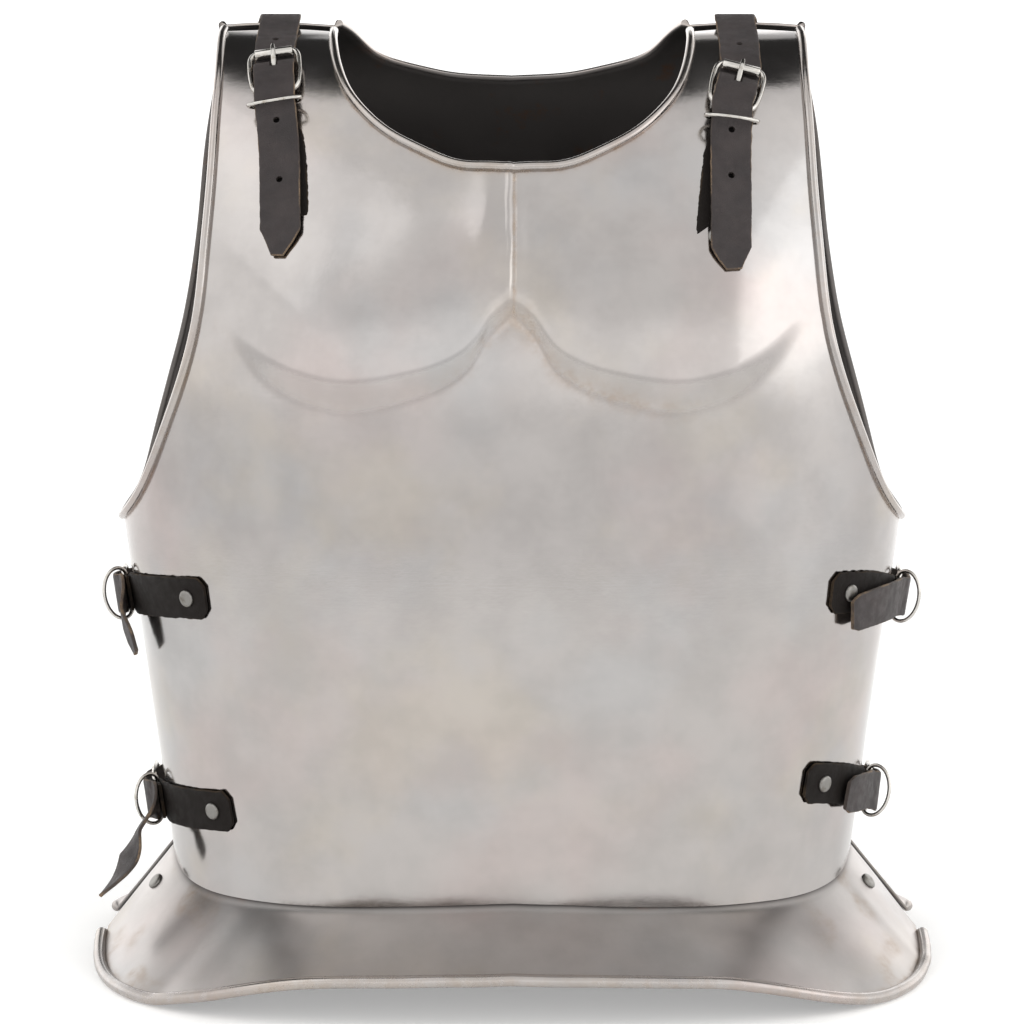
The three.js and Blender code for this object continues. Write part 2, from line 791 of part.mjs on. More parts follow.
const UPPER_BACK = [
  [86, 0.303],
  [76, 0.3],
  [66, 0.298],
  [56, 0.296],
];
const LOWER_BACK = [
  [86, 0.062],
  [76, 0.06],
  [66, 0.06],
  [56, 0.06],
];
const sideRuns = [37, 44, 51, 58, 65, 72, 78, 84];

// Tail that lies forward over the chape, turned down toward its end.
const forward = (length, drop, end) => (tools) =>
  [
    [-length, drop, end],
    [-length + 5, drop * 0.88, BILLET.width - 1],
    [-length * 0.72, drop * 0.55, BILLET.width],
    [-length * 0.48, drop * 0.2, BILLET.width],
  ].map(([s, c, w]) => ({ ...tools.along(s, 6.2, c), w }));

// Tail that hangs free through given points.
const free = (points) => () =>
  points.map(([x, y, z, n, w]) => ({
    p: new THREE.Vector3(x, y, z),
    n: new THREE.Vector3(...n).normalize(),
    w,
  }));

const SIDES = [
  {
    name: "left_upper",
    side: -1,
    front: [[40, 0.331], [49, 0.327], [58, 0.322], [68, 0.316], [78, 0.31], [86, 0.306]],
    back: UPPER_BACK,
    rivetX: 164.5,
    chapeExtra: 12,
    tail: free([
      [-197, -57, 180, [-1, -0.3, -0.2], 9],
      [-201, -53, 189, [-1, -0.3, -0.2], 19],
      [-205, -47, 197.5, [-1, -0.2, -0.2], 20.5],
    ]),
  },
  {
    name: "left_lower",
    side: -1,
    front: [[40, 0.082], [49, 0.076], [58, 0.071], [68, 0.066], [78, 0.062], [86, 0.061]],
    back: LOWER_BACK,
    rivetX: 153.7,
    chapeExtra: 12,
    tail: free([
      [-218, -57, 49, [-0.8, 0.1, 0.6], 7],
      [-210, -57, 58, [-0.75, -0.15, 0.62], 17],
      [-203, -55, 69, [-0.75, -0.45, 0.45], 20],
      [-199, -48, 81, [-1, -0.25, 0.1], 20.5],
    ]),
  },
  {
    name: "right_upper",
    side: 1,
    front: [[43, 0.333], [52, 0.331], [61, 0.324], [70, 0.313], [79, 0.306], [86, 0.304]],
    back: UPPER_BACK,
    rivetX: 171.8,
    chapeExtra: 13,
    tail: forward(80, 11, 15),
  },
  {
    name: "right_lower",
    side: 1,
    front: [[43, 0.109], [52, 0.103], [61, 0.093], [70, 0.081], [79, 0.07], [86, 0.065]],
    back: LOWER_BACK,
    rivetX: 160.7,
    chapeExtra: 13,
    tail: forward(56, 5, 15),
  },
];

for (const { name, side, front, back, rivetX, chapeExtra, tail } of SIDES) {
  const line = sideLine(side, front, back);
  const bar = reach(line, (p) => p.y > -16);
  const rivetAt = reach(line, (p) => Math.abs(p.x) > rivetX) - bar;
  strapSet(name, {
    line,
    bar,
    drift: 0,
    chapeEnd: rivetAt - chapeExtra,
    chapeTip: 13,
    frontRivet: rivetAt,
    backRivet: 76,
    backRuns: sideRuns,
    tail,
    holes: [],
  });
}

// The feet stand at z = 0 and the whole is centred over the origin.
const bounds = new THREE.Box3().setFromObject(cuirass, true);
const middle = bounds.getCenter(new THREE.Vector3());
for (const mesh of cuirass.children) {
  mesh.geometry.translate(-middle.x, -middle.y, -bounds.min.z);
}

export default cuirass;
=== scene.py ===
"""Dresses the steel cuirass: fine steel plates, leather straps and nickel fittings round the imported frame."""

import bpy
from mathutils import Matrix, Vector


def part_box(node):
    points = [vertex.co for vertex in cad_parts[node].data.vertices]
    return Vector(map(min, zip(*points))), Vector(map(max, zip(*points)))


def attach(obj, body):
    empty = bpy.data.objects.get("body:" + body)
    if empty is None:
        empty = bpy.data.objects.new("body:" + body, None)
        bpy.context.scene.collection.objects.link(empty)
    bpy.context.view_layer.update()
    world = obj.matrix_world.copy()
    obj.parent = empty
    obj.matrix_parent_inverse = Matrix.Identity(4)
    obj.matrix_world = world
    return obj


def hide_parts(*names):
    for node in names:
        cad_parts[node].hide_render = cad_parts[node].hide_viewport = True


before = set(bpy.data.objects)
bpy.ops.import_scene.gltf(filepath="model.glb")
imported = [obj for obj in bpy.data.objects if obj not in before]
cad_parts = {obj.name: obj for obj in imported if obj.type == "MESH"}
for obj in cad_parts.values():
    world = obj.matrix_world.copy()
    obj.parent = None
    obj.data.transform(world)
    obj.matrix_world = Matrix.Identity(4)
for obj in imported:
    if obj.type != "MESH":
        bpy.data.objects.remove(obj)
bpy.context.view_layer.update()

from types import SimpleNamespace

import bmesh
import bpy
import numpy as np
from bpy.props import FloatProperty, FloatVectorProperty, IntProperty, PointerProperty
from bpy.types import Operator, Panel, PropertyGroup
from mathutils import Vector

bl_info = {
    "name": "Steel Cuirass",
    "version": (1, 0, 0),
    "blender": (4, 5, 0),
    "location": "View3D > Sidebar > Cuirass",
    "description": "Builds a buckled steel cuirass, its straps and its studio stage",
    "category": "Add Mesh",
}

MM = 0.001  # tables and formulas below are in millimetres, meshes are in metres

# ---- tables of the two plates: share of the way up, height, half width, depth ----
SQUARENESS = 2.5
FRONT_SECTIONS = [
    (0, 61, 183.5, 116),
    (0.1, 115, 190, 122),
    (0.25, 180, 198, 129),
    (0.4, 250, 207.5, 134),
    (0.55, 320, 211, 134),
    (0.68, 375, 211, 123),
    (0.79, 420, 210, 104),
    (0.87, 455, 209, 82),
    (0.93, 482, 208, 56),
    (0.97, 498, 208, 32),
    (1, 504, 208, 0),
]
BACK_SECTIONS = [
    (0, 61, 183.5, 105),
    (0.1, 115, 191, 106),
    (0.25, 180, 199, 110),
    (0.4, 250, 209, 116),
    (0.55, 320, 213, 119),
    (0.68, 375, 213, 117),
    (0.79, 420, 212, 108),
    (0.87, 458, 211, 90),
    (0.93, 487, 210, 64),
    (0.97, 503, 210, 36),
    (1, 509, 210, 0),
]

# Edges of the plates: share along the edge, angle round the body, share of the way up.
FRONT_ARMHOLE = [
    (0, 87, 0.387),
    (0.06, 79, 0.391),
    (0.13, 69.2, 0.401),
    (0.21, 59.2, 0.432),
    (0.31, 52, 0.495),
    (0.42, 46.5, 0.567),
    (0.52, 43.2, 0.65),
    (0.63, 42.3, 0.74),
    (0.74, 41.7, 0.82),
    (0.91, 41.6, 0.93),
    (1, 42, 0.99),
]
FRONT_NECK = [
    (0, 0, 0.815),
    (0.17, 6.8, 0.818),
    (0.33, 13.2, 0.84),
    (0.44, 17.3, 0.857),
    (0.56, 20.9, 0.882),
    (0.68, 23.6, 0.908),
    (0.86, 25.5, 0.952),
    (1, 26, 0.99),
]
BACK_ARMHOLE = [
    (0, 87, 0.387),
    (0.05, 79, 0.391),
    (0.11, 70.2, 0.401),
    (0.26, 59.5, 0.49),
    (0.41, 53, 0.588),
    (0.56, 49.4, 0.7),
    (0.76, 47, 0.84),
    (0.88, 44.5, 0.907),
    (1, 42.4, 0.984),
]
BACK_NECK = [
    (0, 0, 0.904),
    (0.28, 7.9, 0.907),
    (0.53, 14.6, 0.917),
    (0.74, 20.6, 0.933),
    (1, 25.6, 0.984),
]
WAIST = [(0, 0), (50, -0.011), (65, -0.006), (80, 0.013), (90, 0.019)]  # angle, share of the way up

# Upright waves down the flanks: middle, width and height in millimetres.
FLANK_WAVES = [
    (-164, 7, 0.16),
    (-150, 7, -0.22),
    (-119, 6, 0.3),
    (-104, 7, -0.12),
    (138, 9, 0.3),
    (157, 8, -0.2),
    (174, 6, 0.16),
]

# Columns along half the top edge, steps round its roll, and millimetres in the whole way up.
ARM_COLUMNS = 70
TAB_COLUMNS = 24
NECK_COLUMNS = 64
ROLL_STEPS = 14
PLATE_RISE = 430

# Lower edge of the chest pads: distance from the middle, share of the way up.
CREASE = [
    (0, 0.65),
    (10, 0.632),
    (22, 0.59),
    (45, 0.563),
    (82, 0.546),
    (105, 0.556),
    (125, 0.58),
    (150, 0.64),
]

# Skirts: collar inside the plate, flange and rolled hem.
COLLAR = 18
COLLAR_GAP = 1
COLLAR_ROWS = 13
FLANGE_ROWS = 39
HEM_STEPS = 16
SKIRT_END = 84
RIVET_SHARE = 0.22  # place of the end rivets down the flange
HEM_SQUARENESS = 3
FRONT_HEM = (220, 158)  # half width and depth
BACK_HEM = (220, 150)
# Folds where the flange was bent round the hips: middle in degrees, width, height in millimetres.
FRONT_FOLDS = [(-47, 2.2, -0.55), (-38, 5, -0.3), (69, 2.2, 0.6), (45, 5, -0.45)]
BACK_FOLDS = [(-58, 4, 0.5), (58, 4, 0.5)]
HEM_HEIGHT = [(0, 34.5), (25, 31.5), (40, 19), (50, 12), (60, 12), (72, 16), (84, 21)]

# Straps: heights over the plate, and places along a strap from the buckle's heel bar.
GAP = 0.35
BILLET_LOW = 1.9
CHAPE_LOW = 1.4
CHAPE_FOLD = 18.4
BAR = 5.4
REACH = 26
KEEPER_MID = 7.95
KEEPER_HALF = 4.3
KEEPER_FLAT = 9.2
KEEPER_SLANT = 0.45
KEEPER_AT = -9
ACROSS = 27  # points across a strap
SHARP = 35  # degrees between faces from which an edge is drawn sharp
SHOULDER_RUNS = (38, 48, 58, 68, 78, 88, 98, 108, 116)
UPPER_BACK = (0.303, 0.3, 0.298, 0.296)
LOWER_BACK = (0.062, 0.06, 0.06, 0.06)
FRAME_HALF = [(0, 4.5), (0, 9.3), (2.4, 11.2), (9, 12.4), (17, 12.7), (23, 12.2), (26, 10.2), (26, 4.5)]

# Stage: camera and its aim, lamps, and bright boxes of the walls (azimuth and height angle, each as middle,
# reach and half width of the full light, and gain).
EYE = (0, -1609.5, 483.7)
AIM = (0, 0, 246)
LAMPS = (
    ("soft_left", (-1.5, -1.4, 2.3), (1.8, 1.8), 3.5),
    ("soft_right", (2.2, -1.3, 1.4), (1.6, 1.8), 4),
    ("soft_back", (0.6, 2.6, 1.9), (1.8, 1.2), 4),
)
WALL_BOXES = (
    ("one side", (-1.05, 0.85, 0.05), (1.05, 0.7, 0.25), 0.27),
    ("one side", (1.15, 0.8, 0.05), (0.45, 0.95, 0.25), 0.42),
    ("both sides", (2.45, 0.75, 0.3), (0.2, 0.5, 0.2), 0.55),
)


# ---- settings that a user would change ----
class CuirassSteel(PropertyGroup):
    """Sizes and finish of the plates and skirts."""

    plate: FloatProperty(name="Plate", description="Thickness of the steel", default=0.0015, unit="LENGTH")
    roll: FloatProperty(
        name="Roll", description="Radius of the rolled edges at neck and arms", default=0.0023, unit="LENGTH"
    )
    hem_roll: FloatProperty(
        name="Hem roll", description="Radius of the rolled lower edge of a skirt",
        default=0.0032, unit="LENGTH",
    )
    chest: FloatProperty(name="Chest", description="Rise of the chest pads", default=0.0062, unit="LENGTH")
    waves: FloatProperty(
        name="Waves", description="Height of the unevenness left by hammering", default=0.00016, unit="LENGTH"
    )
    colour: FloatVectorProperty(
        name="Colour", description="Colour of the clean steel",
        subtype="COLOR", size=3, default=(0.447, 0.424, 0.412),
    )
    # The stain colour is also painted shade: the dark line down the breastbone fold and the dark reflection
    # patches at the skirts' corners.
    stain_and_painted_shade: FloatVectorProperty(
        name="Stain", description="Colour of the rust film",
        subtype="COLOR", size=3, default=(0.36, 0.26, 0.18),
    )
    # The inside colour is also painted as the shadow line on the skirts' collars just below the plates.
    inside: FloatVectorProperty(
        name="Inside", description="Colour of the unpolished inside",
        subtype="COLOR", size=3, default=(0.085, 0.078, 0.075),
    )
    roughness: FloatProperty(
        name="Roughness", description="Roughness of the polished face",
        default=0.13, min=0, max=1, subtype="FACTOR",
    )


class CuirassLeather(PropertyGroup):
    """Sizes and finish of the straps."""

    billet_width: FloatProperty(
        name="Billet width", description="Width of the straps with holes", default=0.0205, unit="LENGTH"
    )
    billet_thick: FloatProperty(
        name="Billet thickness", description="Thickness of the straps with holes",
        default=0.002, unit="LENGTH",
    )
    chape_width: FloatProperty(
        name="Chape width", description="Width of the straps that hold the buckles",
        default=0.0215, unit="LENGTH",
    )
    chape_thick: FloatProperty(
        name="Chape thickness", description="Thickness of the buckle straps", default=0.0018, unit="LENGTH"
    )
    colour: FloatVectorProperty(
        name="Colour", description="Colour of the grain side",
        subtype="COLOR", size=3, default=(0.041, 0.036, 0.037),
    )
    raw_edge: FloatVectorProperty(
        name="Raw edge", description="Colour of the cut edges",
        subtype="COLOR", size=3, default=(0.25, 0.18, 0.115),
    )
    flesh: FloatVectorProperty(
        name="Flesh side", description="Colour of the underside",
        subtype="COLOR", size=3, default=(0.06, 0.05, 0.045),
    )


class CuirassFittings(PropertyGroup):
    """Sizes and finish of the buckles, keepers and rivets."""

    wire: FloatProperty(name="Wire", description="Radius of the buckle wire", default=0.0014, unit="LENGTH")
    ring: FloatProperty(name="Ring", description="Radius of the keeper wire", default=0.001, unit="LENGTH")
    rivet: FloatProperty(name="Rivet", description="Radius of a rivet head", default=0.0045, unit="LENGTH")
    rivet_rise: FloatProperty(
        name="Rivet rise", description="Height of a rivet head",
        default=0.0017, unit="LENGTH",
    )
    sides: IntProperty(name="Sides", description="Faces round a wire", default=16, min=6, max=48)
    colour: FloatVectorProperty(
        name="Colour", description="Colour of the nickel", subtype="COLOR", size=3, default=(0.58, 0.56, 0.53)
    )


class CuirassStage(PropertyGroup):
    """Floor, lights and camera."""

    floor: FloatVectorProperty(
        name="Floor", description="Colour of the floor", subtype="COLOR", size=3, default=(0.92, 0.92, 0.915)
    )
    sky: FloatProperty(name="Walls", description="Brightness of the studio walls", default=1.04, min=0)
    lens: FloatProperty(name="Lens", description="Focal length of the camera", default=105.96, unit="CAMERA")


# ---- small mathematics, all on whole arrays ----
def monotone(rows, column=1):
    """Cubic through (x, value) rows that never overshoots: the slope at a row is the harmonic mean of the
    slopes on both sides, zero where they change sign, and the curve goes on straight beyond its ends."""
    x = np.array([row[0] for row in rows], float)
    y = np.array([row[column] for row in rows], float)
    rise = np.diff(y) / np.diff(x)
    product = rise[:-1] * rise[1:]
    total = np.where(product > 0, rise[:-1] + rise[1:], 1)
    slope = np.concatenate([rise[:1], np.where(product > 0, 2 * product / total, 0), rise[-1:]])

    def at(value):
        value = np.asarray(value, float)
        i = np.clip(np.searchsorted(x, value, side="right") - 1, 0, len(x) - 2)
        span = x[i + 1] - x[i]
        t = (np.clip(value, x[0], x[-1]) - x[i]) / span
        s = 1 - t
        inner = y[i] * (1 + 2 * t) * s * s + slope[i] * span * t * s * s
        inner = inner + y[i + 1] * t * t * (3 - 2 * t) - slope[i + 1] * span * t * t * s
        below = slope[0] * np.minimum(value - x[0], 0)
        above = slope[-1] * np.maximum(value - x[-1], 0)
        return inner + below + above

    return at


def smoothed(curve, low, high, width):
    """The curve averaged with a Gaussian of that width, sampled finely between low and high."""
    step = (high - low) / 3000
    x = np.arange(low - 4 * width, high + 4 * width, step)
    offsets = np.arange(-3 * width, 3 * width + step / 2, step)
    weights = np.exp(-0.5 * (offsets / width) ** 2)
    y = np.convolve(curve(x), weights / weights.sum(), mode="same")
    return lambda value: np.interp(value, x, y)


def ease(value):
    """Smooth step: 3t^2 - 2t^3 with t held between 0 and 1."""
    t = np.clip(value, 0, 1)
    return t * t * (3 - 2 * t)


def mix(a, b, t):
    """a at t = 0, b at t = 1, straight between."""
    return a + (b - a) * t


def unit(vectors):
    """Vectors scaled to length 1."""
    return vectors / np.maximum(np.linalg.norm(vectors, axis=-1, keepdims=True), 1e-12)


def ripple(a, b, scale, seed, waves=9):
    """Sum of sine waves in seeded directions over the plane (a, b), about -1 to 1, longest wave = scale."""
    rng = np.random.default_rng(seed)
    turn = rng.uniform(0, 2 * np.pi, waves)
    phase = rng.uniform(0, 2 * np.pi, waves)
    number = 2 * np.pi / (scale * rng.uniform(0.45, 1, waves))
    total = np.zeros(np.broadcast(a, b).shape)
    for k in range(waves):
        total = total + np.sin(number[k] * (a * np.cos(turn[k]) + b * np.sin(turn[k])) + phase[k])
    return total / np.sqrt(waves)


def catmull(knots, at):
    """Centripetal Catmull-Rom spline through the knots, at positions counted in knots: Hermite spans
    whose end slopes come from neighbours spaced by the square root of their distances."""
    k = np.asarray(knots, float)
    at = np.asarray(at, float)
    ends = np.vstack([2 * k[0] - k[1], k, 2 * k[-1] - k[-2]])
    i = np.clip(np.floor(at).astype(int), 0, len(k) - 2)
    w = (at - i)[:, None]
    p0, p1, p2, p3 = ends[i], ends[i + 1], ends[i + 2], ends[i + 3]
    gaps = (p1 - p0, p2 - p1, p3 - p2)
    d0, d1, d2 = [np.sqrt(np.linalg.norm(gap, axis=-1, keepdims=True)) for gap in gaps]
    d1 = np.where(d1 < 1e-4, 1, d1)
    d0 = np.where(d0 < 1e-4, d1, d0)
    d2 = np.where(d2 < 1e-4, d1, d2)
    m1 = ((p1 - p0) / d0 - (p2 - p0) / (d0 + d1) + (p2 - p1) / d1) * d1
    m2 = ((p2 - p1) / d1 - (p3 - p1) / (d1 + d2) + (p3 - p2) / d2) * d1
    start = p1 * (2 * w**3 - 3 * w**2 + 1) + m1 * (w**3 - 2 * w**2 + w)
    return start + p2 * (3 * w**2 - 2 * w**3) + m2 * (w**3 - w**2)


def distances(points, t):
    """Distance run along the spline at each parameter."""
    steps = np.linalg.norm(np.diff(catmull(points, t), axis=0), axis=-1)
    return np.concatenate([[0], np.cumsum(steps)])


# ---- surfaces of the plates ----
def superellipse(angle, power):
    """Direction (s, c) at an angle from the front, scaled so that |s|^power + |c|^power = 1."""
    s, c = np.sin(np.radians(angle)), np.cos(np.radians(angle))
    size = (np.abs(s) ** power + np.abs(c) ** power) ** (-1 / power)
    return s * size, c * size


def stacked(*columns):
    """Points from arrays of x, y and z."""
    return np.stack(np.broadcast_arrays(*columns), axis=-1)


waist = smoothed(monotone(WAIST), 0, 90, 2)
crease = smoothed(monotone(CREASE), 0, 210, 2.5)
hem_height = smoothed(monotone(HEM_HEIGHT), 0, 90, 2.5)


class Skin:
    """Outer face of a plate: at a share of the way up it is a superellipse of that height's half width
    and depth, and the angle runs round the body from the middle."""

    def __init__(self, sections, facing):
        curves = [smoothed(monotone(sections, k), -0.05, 1.02, 0.01) for k in (1, 2, 3)]
        wide = [smoothed(monotone(sections, k), -0.05, 1.02, 0.03) for k in (1, 2, 3)]
        self.facing = facing
        self.curves = [
            lambda up, a=a, b=b: mix(a(up), b(up), ease((0.9 - up) / 0.12)) for a, b in zip(curves, wide)
        ]
        self.height = self.curves[0]

    def point(self, angle, up):
        """Height, half width and depth of that share of the way up, spread round the superellipse."""
        s, c = superellipse(angle, SQUARENESS)
        height, half, depth = [curve(up) for curve in self.curves]
        return stacked(half * s, self.facing * depth * c, height)

    def normal(self, angle, up):
        """Cross product of small steps round and up, pointing outwards."""
        top = np.minimum(np.asarray(up) + 0.004, 0.999)
        across = self.point(angle + 0.5, up) - self.point(angle - 0.5, up)
        along = self.point(angle, top) - self.point(angle, top - 0.008)
        return unit(np.cross(across, along)) * -self.facing


FRONT = Skin(FRONT_SECTIONS, -1)
BACK = Skin(BACK_SECTIONS, 1)
SKIRTS = (("front", FRONT, FRONT_HEM, -1), ("back", BACK, BACK_HEM, 1))


def bell(value, middle, width):
    """Bell curve: e to the minus square of the distance from the middle, counted in widths."""
    return np.exp(-(((value - middle) / width) ** 2))


def bells(value, rows):
    """Sum of bell curves given by middle, width and height."""
    return sum(height * bell(value, middle, width) for middle, width, height in rows)


def above_crease(x, up):
    """Distance over the lower edge of the chest pads, in millimetres."""
    return (up - crease(np.abs(x))) * PLATE_RISE


def chest_rise(x, up, rise):
    """Rise of the chest pads: it eases in over the crease, sharply at the middle and softly at the sides,
    fades upwards and sideways, and is cut by the breastbone crease with its small wandering fold."""
    away = np.abs(x)
    above = above_crease(x, up)
    reach = mix(14, 17, ease(away / 90))
    lift = ease((above + 0.25 * reach) / reach) * (1 - ease((above - 25) / 110))
    width = 1 - ease((away - 105) / 50)
    middle = 1 - 0.3 * bell(x, 0, 9)
    wander = x - 0.2 * np.sin(up * 71) - 0.15 * np.sin(up * 173 + 1)
    beads = 0.7 + 0.3 * np.sin(up * 610) * np.sin(up * 233 + 2)
    fold = 0.62 * bell(wander, -1.5, 1.3) - 0.45 * beads * bell(wander, 0.6, 0.9)
    fold = fold * ease((up - 0.655) / 0.03)
    return rise * lift * width * middle + fold - 0.5 * bell(x, 0, 12) * bell(above, 2, 9)


def flank_waves(x, up):
    """Faint upright ridges and hollows down both flanks: bell curves across, fading toward the armholes."""
    return bells(x, FLANK_WAVES) * ease((0.5 - up) / 0.12) * ease((up + 0.05) / 0.1)


def grid_normals(grid, outward):
    """Cross product of the two directions of a grid of points, turned to agree with outward."""
    normals = unit(np.cross(np.gradient(grid, axis=0), np.gradient(grid, axis=1)))
    sign = np.sign(np.sum(normals * outward, axis=-1, keepdims=True))
    return normals * np.where(sign == 0, 1, sign)


def bead(edge, out, normal, plate, radius, steps):
    """Rolled edge: an arc of that radius past the edge, from the outer face over the top to the inner one."""
    r = radius[:, None]
    reach = np.sqrt(np.maximum(0, 2 * r * plate - plate * plate))
    start = np.pi + np.arcsin((r - plate) / r)
    angle = mix(start, -np.pi / 2, np.linspace(0, 1, steps + 1)[1:])
    centre = edge + out * reach + normal * (r - plate)
    across = out[:, None] * (r * np.cos(angle))[..., None]
    return centre[:, None] + across + normal[:, None] * (r * np.sin(angle))[..., None]


def edge_columns(armhole, neck, roll, plate):
    """Top edge from the left side over both shoulders to the right side: angle, share of the way up,
    angle at the waist and radius of the roll for each column."""
    arm, collar = [[smoothed(monotone(rows, k), 0, 1, 0.045) for k in (1, 2)] for rows in (armhole, neck)]
    t = np.linspace(0, 0.996, ARM_COLUMNS)
    arms = [curve(t) for curve in arm] + [mix(87, 46.5, t**0.7), np.full(ARM_COLUMNS, roll)]
    t = np.linspace(0, 1, TAB_COLUMNS)
    angles, shares = [(a(1.0), b(1.0)) for a, b in zip(arm, collar)]
    crown = 0.006 * np.sin(np.pi * t)
    tabs = [mix(*angles, t), mix(*shares, t) + crown, mix(46.3, 26.7, t), np.full(TAB_COLUMNS, plate / 2)]
    u = np.linspace(0, 1, NECK_COLUMNS)
    t = np.minimum(1 - mix(u, 1 - (1 - u) ** 1.8, 0.6), 0.994)
    necks = [curve(t) for curve in collar] + [26.5 * t, np.full(NECK_COLUMNS, roll)]
    half = np.concatenate([arms, tabs, necks], axis=1)
    left = half * np.array([[-1], [1], [-1], [1]])
    return np.concatenate([left, half[:, -2::-1]], axis=1)


def plate_sheet(skin, armhole, neck, rows, steel, rise, seed):
    """A plate as closed loops, one per column: up the outer face, round the roll, down the inner face
    and round the waist rim. Each face point is the skin moved along its normal by pads and hammer waves."""
    thick, roll = steel.plate / MM, steel.roll / MM
    angle, up, foot, radius = edge_columns(armhole, neck, roll, thick)
    around = mix(foot[:, None], angle[:, None], rows)
    above = mix(waist(np.abs(foot))[:, None], up[:, None], rows)
    bare = skin.point(around, above)
    normal = skin.normal(around, above)
    lift = steel.waves / MM * ripple(bare[..., 0], bare[..., 2], 75, seed)
    if rise:
        lift = lift + chest_rise(bare[..., 0], above, rise) + flank_waves(bare[..., 0], above)
    outer = bare + normal * lift[..., None]
    normal = grid_normals(outer, normal)
    inner = outer - normal * thick
    tops = outer[:, -1]
    out = unit(np.cross(np.gradient(tops, axis=0), normal[:, -1])) * skin.facing
    rolled = bead(tops, out, normal[:, -1], thick, radius, ROLL_STEPS)
    rim = (outer[:, :1] + inner[:, :1]) / 2 + unit(outer[:, :1] - outer[:, 2:3]) * thick * 0.3
    loops = np.concatenate([outer, rolled, inner[:, ::-1], rim], axis=1)
    from_edge = np.linalg.norm(outer - outer[:, -1:], axis=-1)
    faces = {"outer": outer, "above": above, "from_edge": from_edge, "radius": radius}
    return loops, faces


def skirt_sheet(skin, hem, facing, angle, steel):
    """A skirt as closed loops, one per angle: collar inside the plate, a bend of about 4 mm, a flange out to
    the hem, the roll, and the same way back one thickness further in. Also its outer face alone."""
    thick = steel.plate / MM
    foot = waist(np.abs(angle))

    def sunken(above):
        return skin.point(angle, above) - skin.normal(angle, above) * (thick + COLLAR_GAP)

    s, c = superellipse(angle, HEM_SQUARENESS)
    start = sunken(foot)
    start[:, 2] = skin.height(foot) - 1.2
    goal = stacked(hem[0] * s, facing * hem[1] * c, hem_height(np.abs(angle)))
    top, low = sunken(foot + COLLAR / 540), sunken(foot + 0.008)
    first = start + unit(goal - start) * 5
    t = np.linspace(0, 1, 7)[None, :, None]
    collar = mix(top[:, None], low[:, None], t)
    turn = (1 - t) ** 2 * low[:, None] + 2 * t * (1 - t) * start[:, None] + t * t * first[:, None]
    share = np.linspace(0, 1, FLANGE_ROWS + 1)[1:]
    flange = mix(first[:, None], goal[:, None], share[None, :, None])
    outer = np.concatenate([collar, turn[:, 1:], flange], axis=1)
    outward = outer * (1, 1, 0) + (0, 0, 60)
    wave = steel.waves / MM * ripple(outer[..., 0], outer[..., 1], 60, 5 + facing)
    folds = bells(angle, FRONT_FOLDS if facing < 0 else BACK_FOLDS)[:, None]
    share = np.concatenate([np.zeros(COLLAR_ROWS), share])
    outer = outer + grid_normals(outer, outward) * ((wave + folds) * ease(share * 3))[..., None]
    normal = grid_normals(outer, outward)
    inner = outer - normal * thick
    down = unit(outer[:, -1] - outer[:, -3])
    taper, over = (2.5, 0.5) if facing < 0 else (7, 5)
    radius = mix(steel.hem_roll / MM, thick / 2, ease((np.abs(angle) - SKIRT_END + taper) / over))
    rolled = bead(outer[:, -1], down, normal[:, -1], thick, radius, HEM_STEPS)
    return np.concatenate([outer, rolled, inner[:, ::-1]], axis=1), outer


def skirt_angles():
    """Angles round a skirt, closer together at the hips."""
    t = np.linspace(-1, 1, 221)
    return SKIRT_END * np.sign(t) * np.abs(t) ** 0.9


# ---- meshes ----
def loop_faces(columns, count, closed):
    """Quads between neighbouring loops of points, with both end loops closed by strips of quads."""
    k = np.arange(count)
    turn = (k + 1) % count
    here = np.arange(columns if closed else columns - 1)[:, None] * count
    after = (here + count) % (columns * count)
    quads = np.stack([here + k, here + turn, after + turn, after + k], axis=-1).reshape(-1, 4).tolist()
    if not closed:
        for base in (0, (columns - 1) * count):
            quads += strip(base, count)
    return quads


def strip(base, count):
    """Quads across one closed loop, pairing its points from both sides of its first one."""
    faces = []
    for k in range((count - 1) // 2):
        corners = [base + k, base + k + 1, base + count - 2 - k, base + count - 1 - k]
        faces.append(corners if corners[1] != corners[2] else [corners[0], corners[1], corners[3]])
    return faces


def ring_faces(columns, count, closed):
    """Quads round a tube; an open tube's two ends are flat faces."""
    if closed:
        return loop_faces(columns, count, True)
    walls = loop_faces(columns, count, True)[: (columns - 1) * count]
    return walls + [list(range(count)), list(range((columns - 1) * count, columns * count))]


def make_piece(node, suffix, points, faces, kind, values=None):
    """Puts points and faces into a mesh object at the origin, in the frame's metres, with a shared finish."""
    name = f"{node}_{suffix}"
    mesh = bpy.data.meshes.new(name)
    placed = (np.asarray(points).reshape(-1, 3) + SHIFT) * MM
    mesh.from_pydata(placed.tolist(), [], faces)
    shape = bmesh.new()
    shape.from_mesh(mesh)
    bmesh.ops.recalc_face_normals(shape, faces=shape.faces)
    shape.to_mesh(mesh)
    shape.free()
    for key, value in (values or {}).items():
        layer = mesh.attributes.new(key, "FLOAT", "POINT")
        layer.data.foreach_set("value", np.asarray(value, np.float32).ravel())
    mesh.polygons.foreach_set("use_smooth", np.ones(len(mesh.polygons), bool))
    mesh.set_sharp_from_angle(angle=np.radians(SHARP))
    mesh.materials.append(finish(kind))
    piece = bpy.data.objects.new(name, mesh)
    bpy.context.scene.collection.objects.link(piece)
    stand_for(piece, node)


def stand_for(piece, node):
    """The piece rides on the one body and takes the place of its CAD node."""
    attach(piece, "root")
    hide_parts(node)


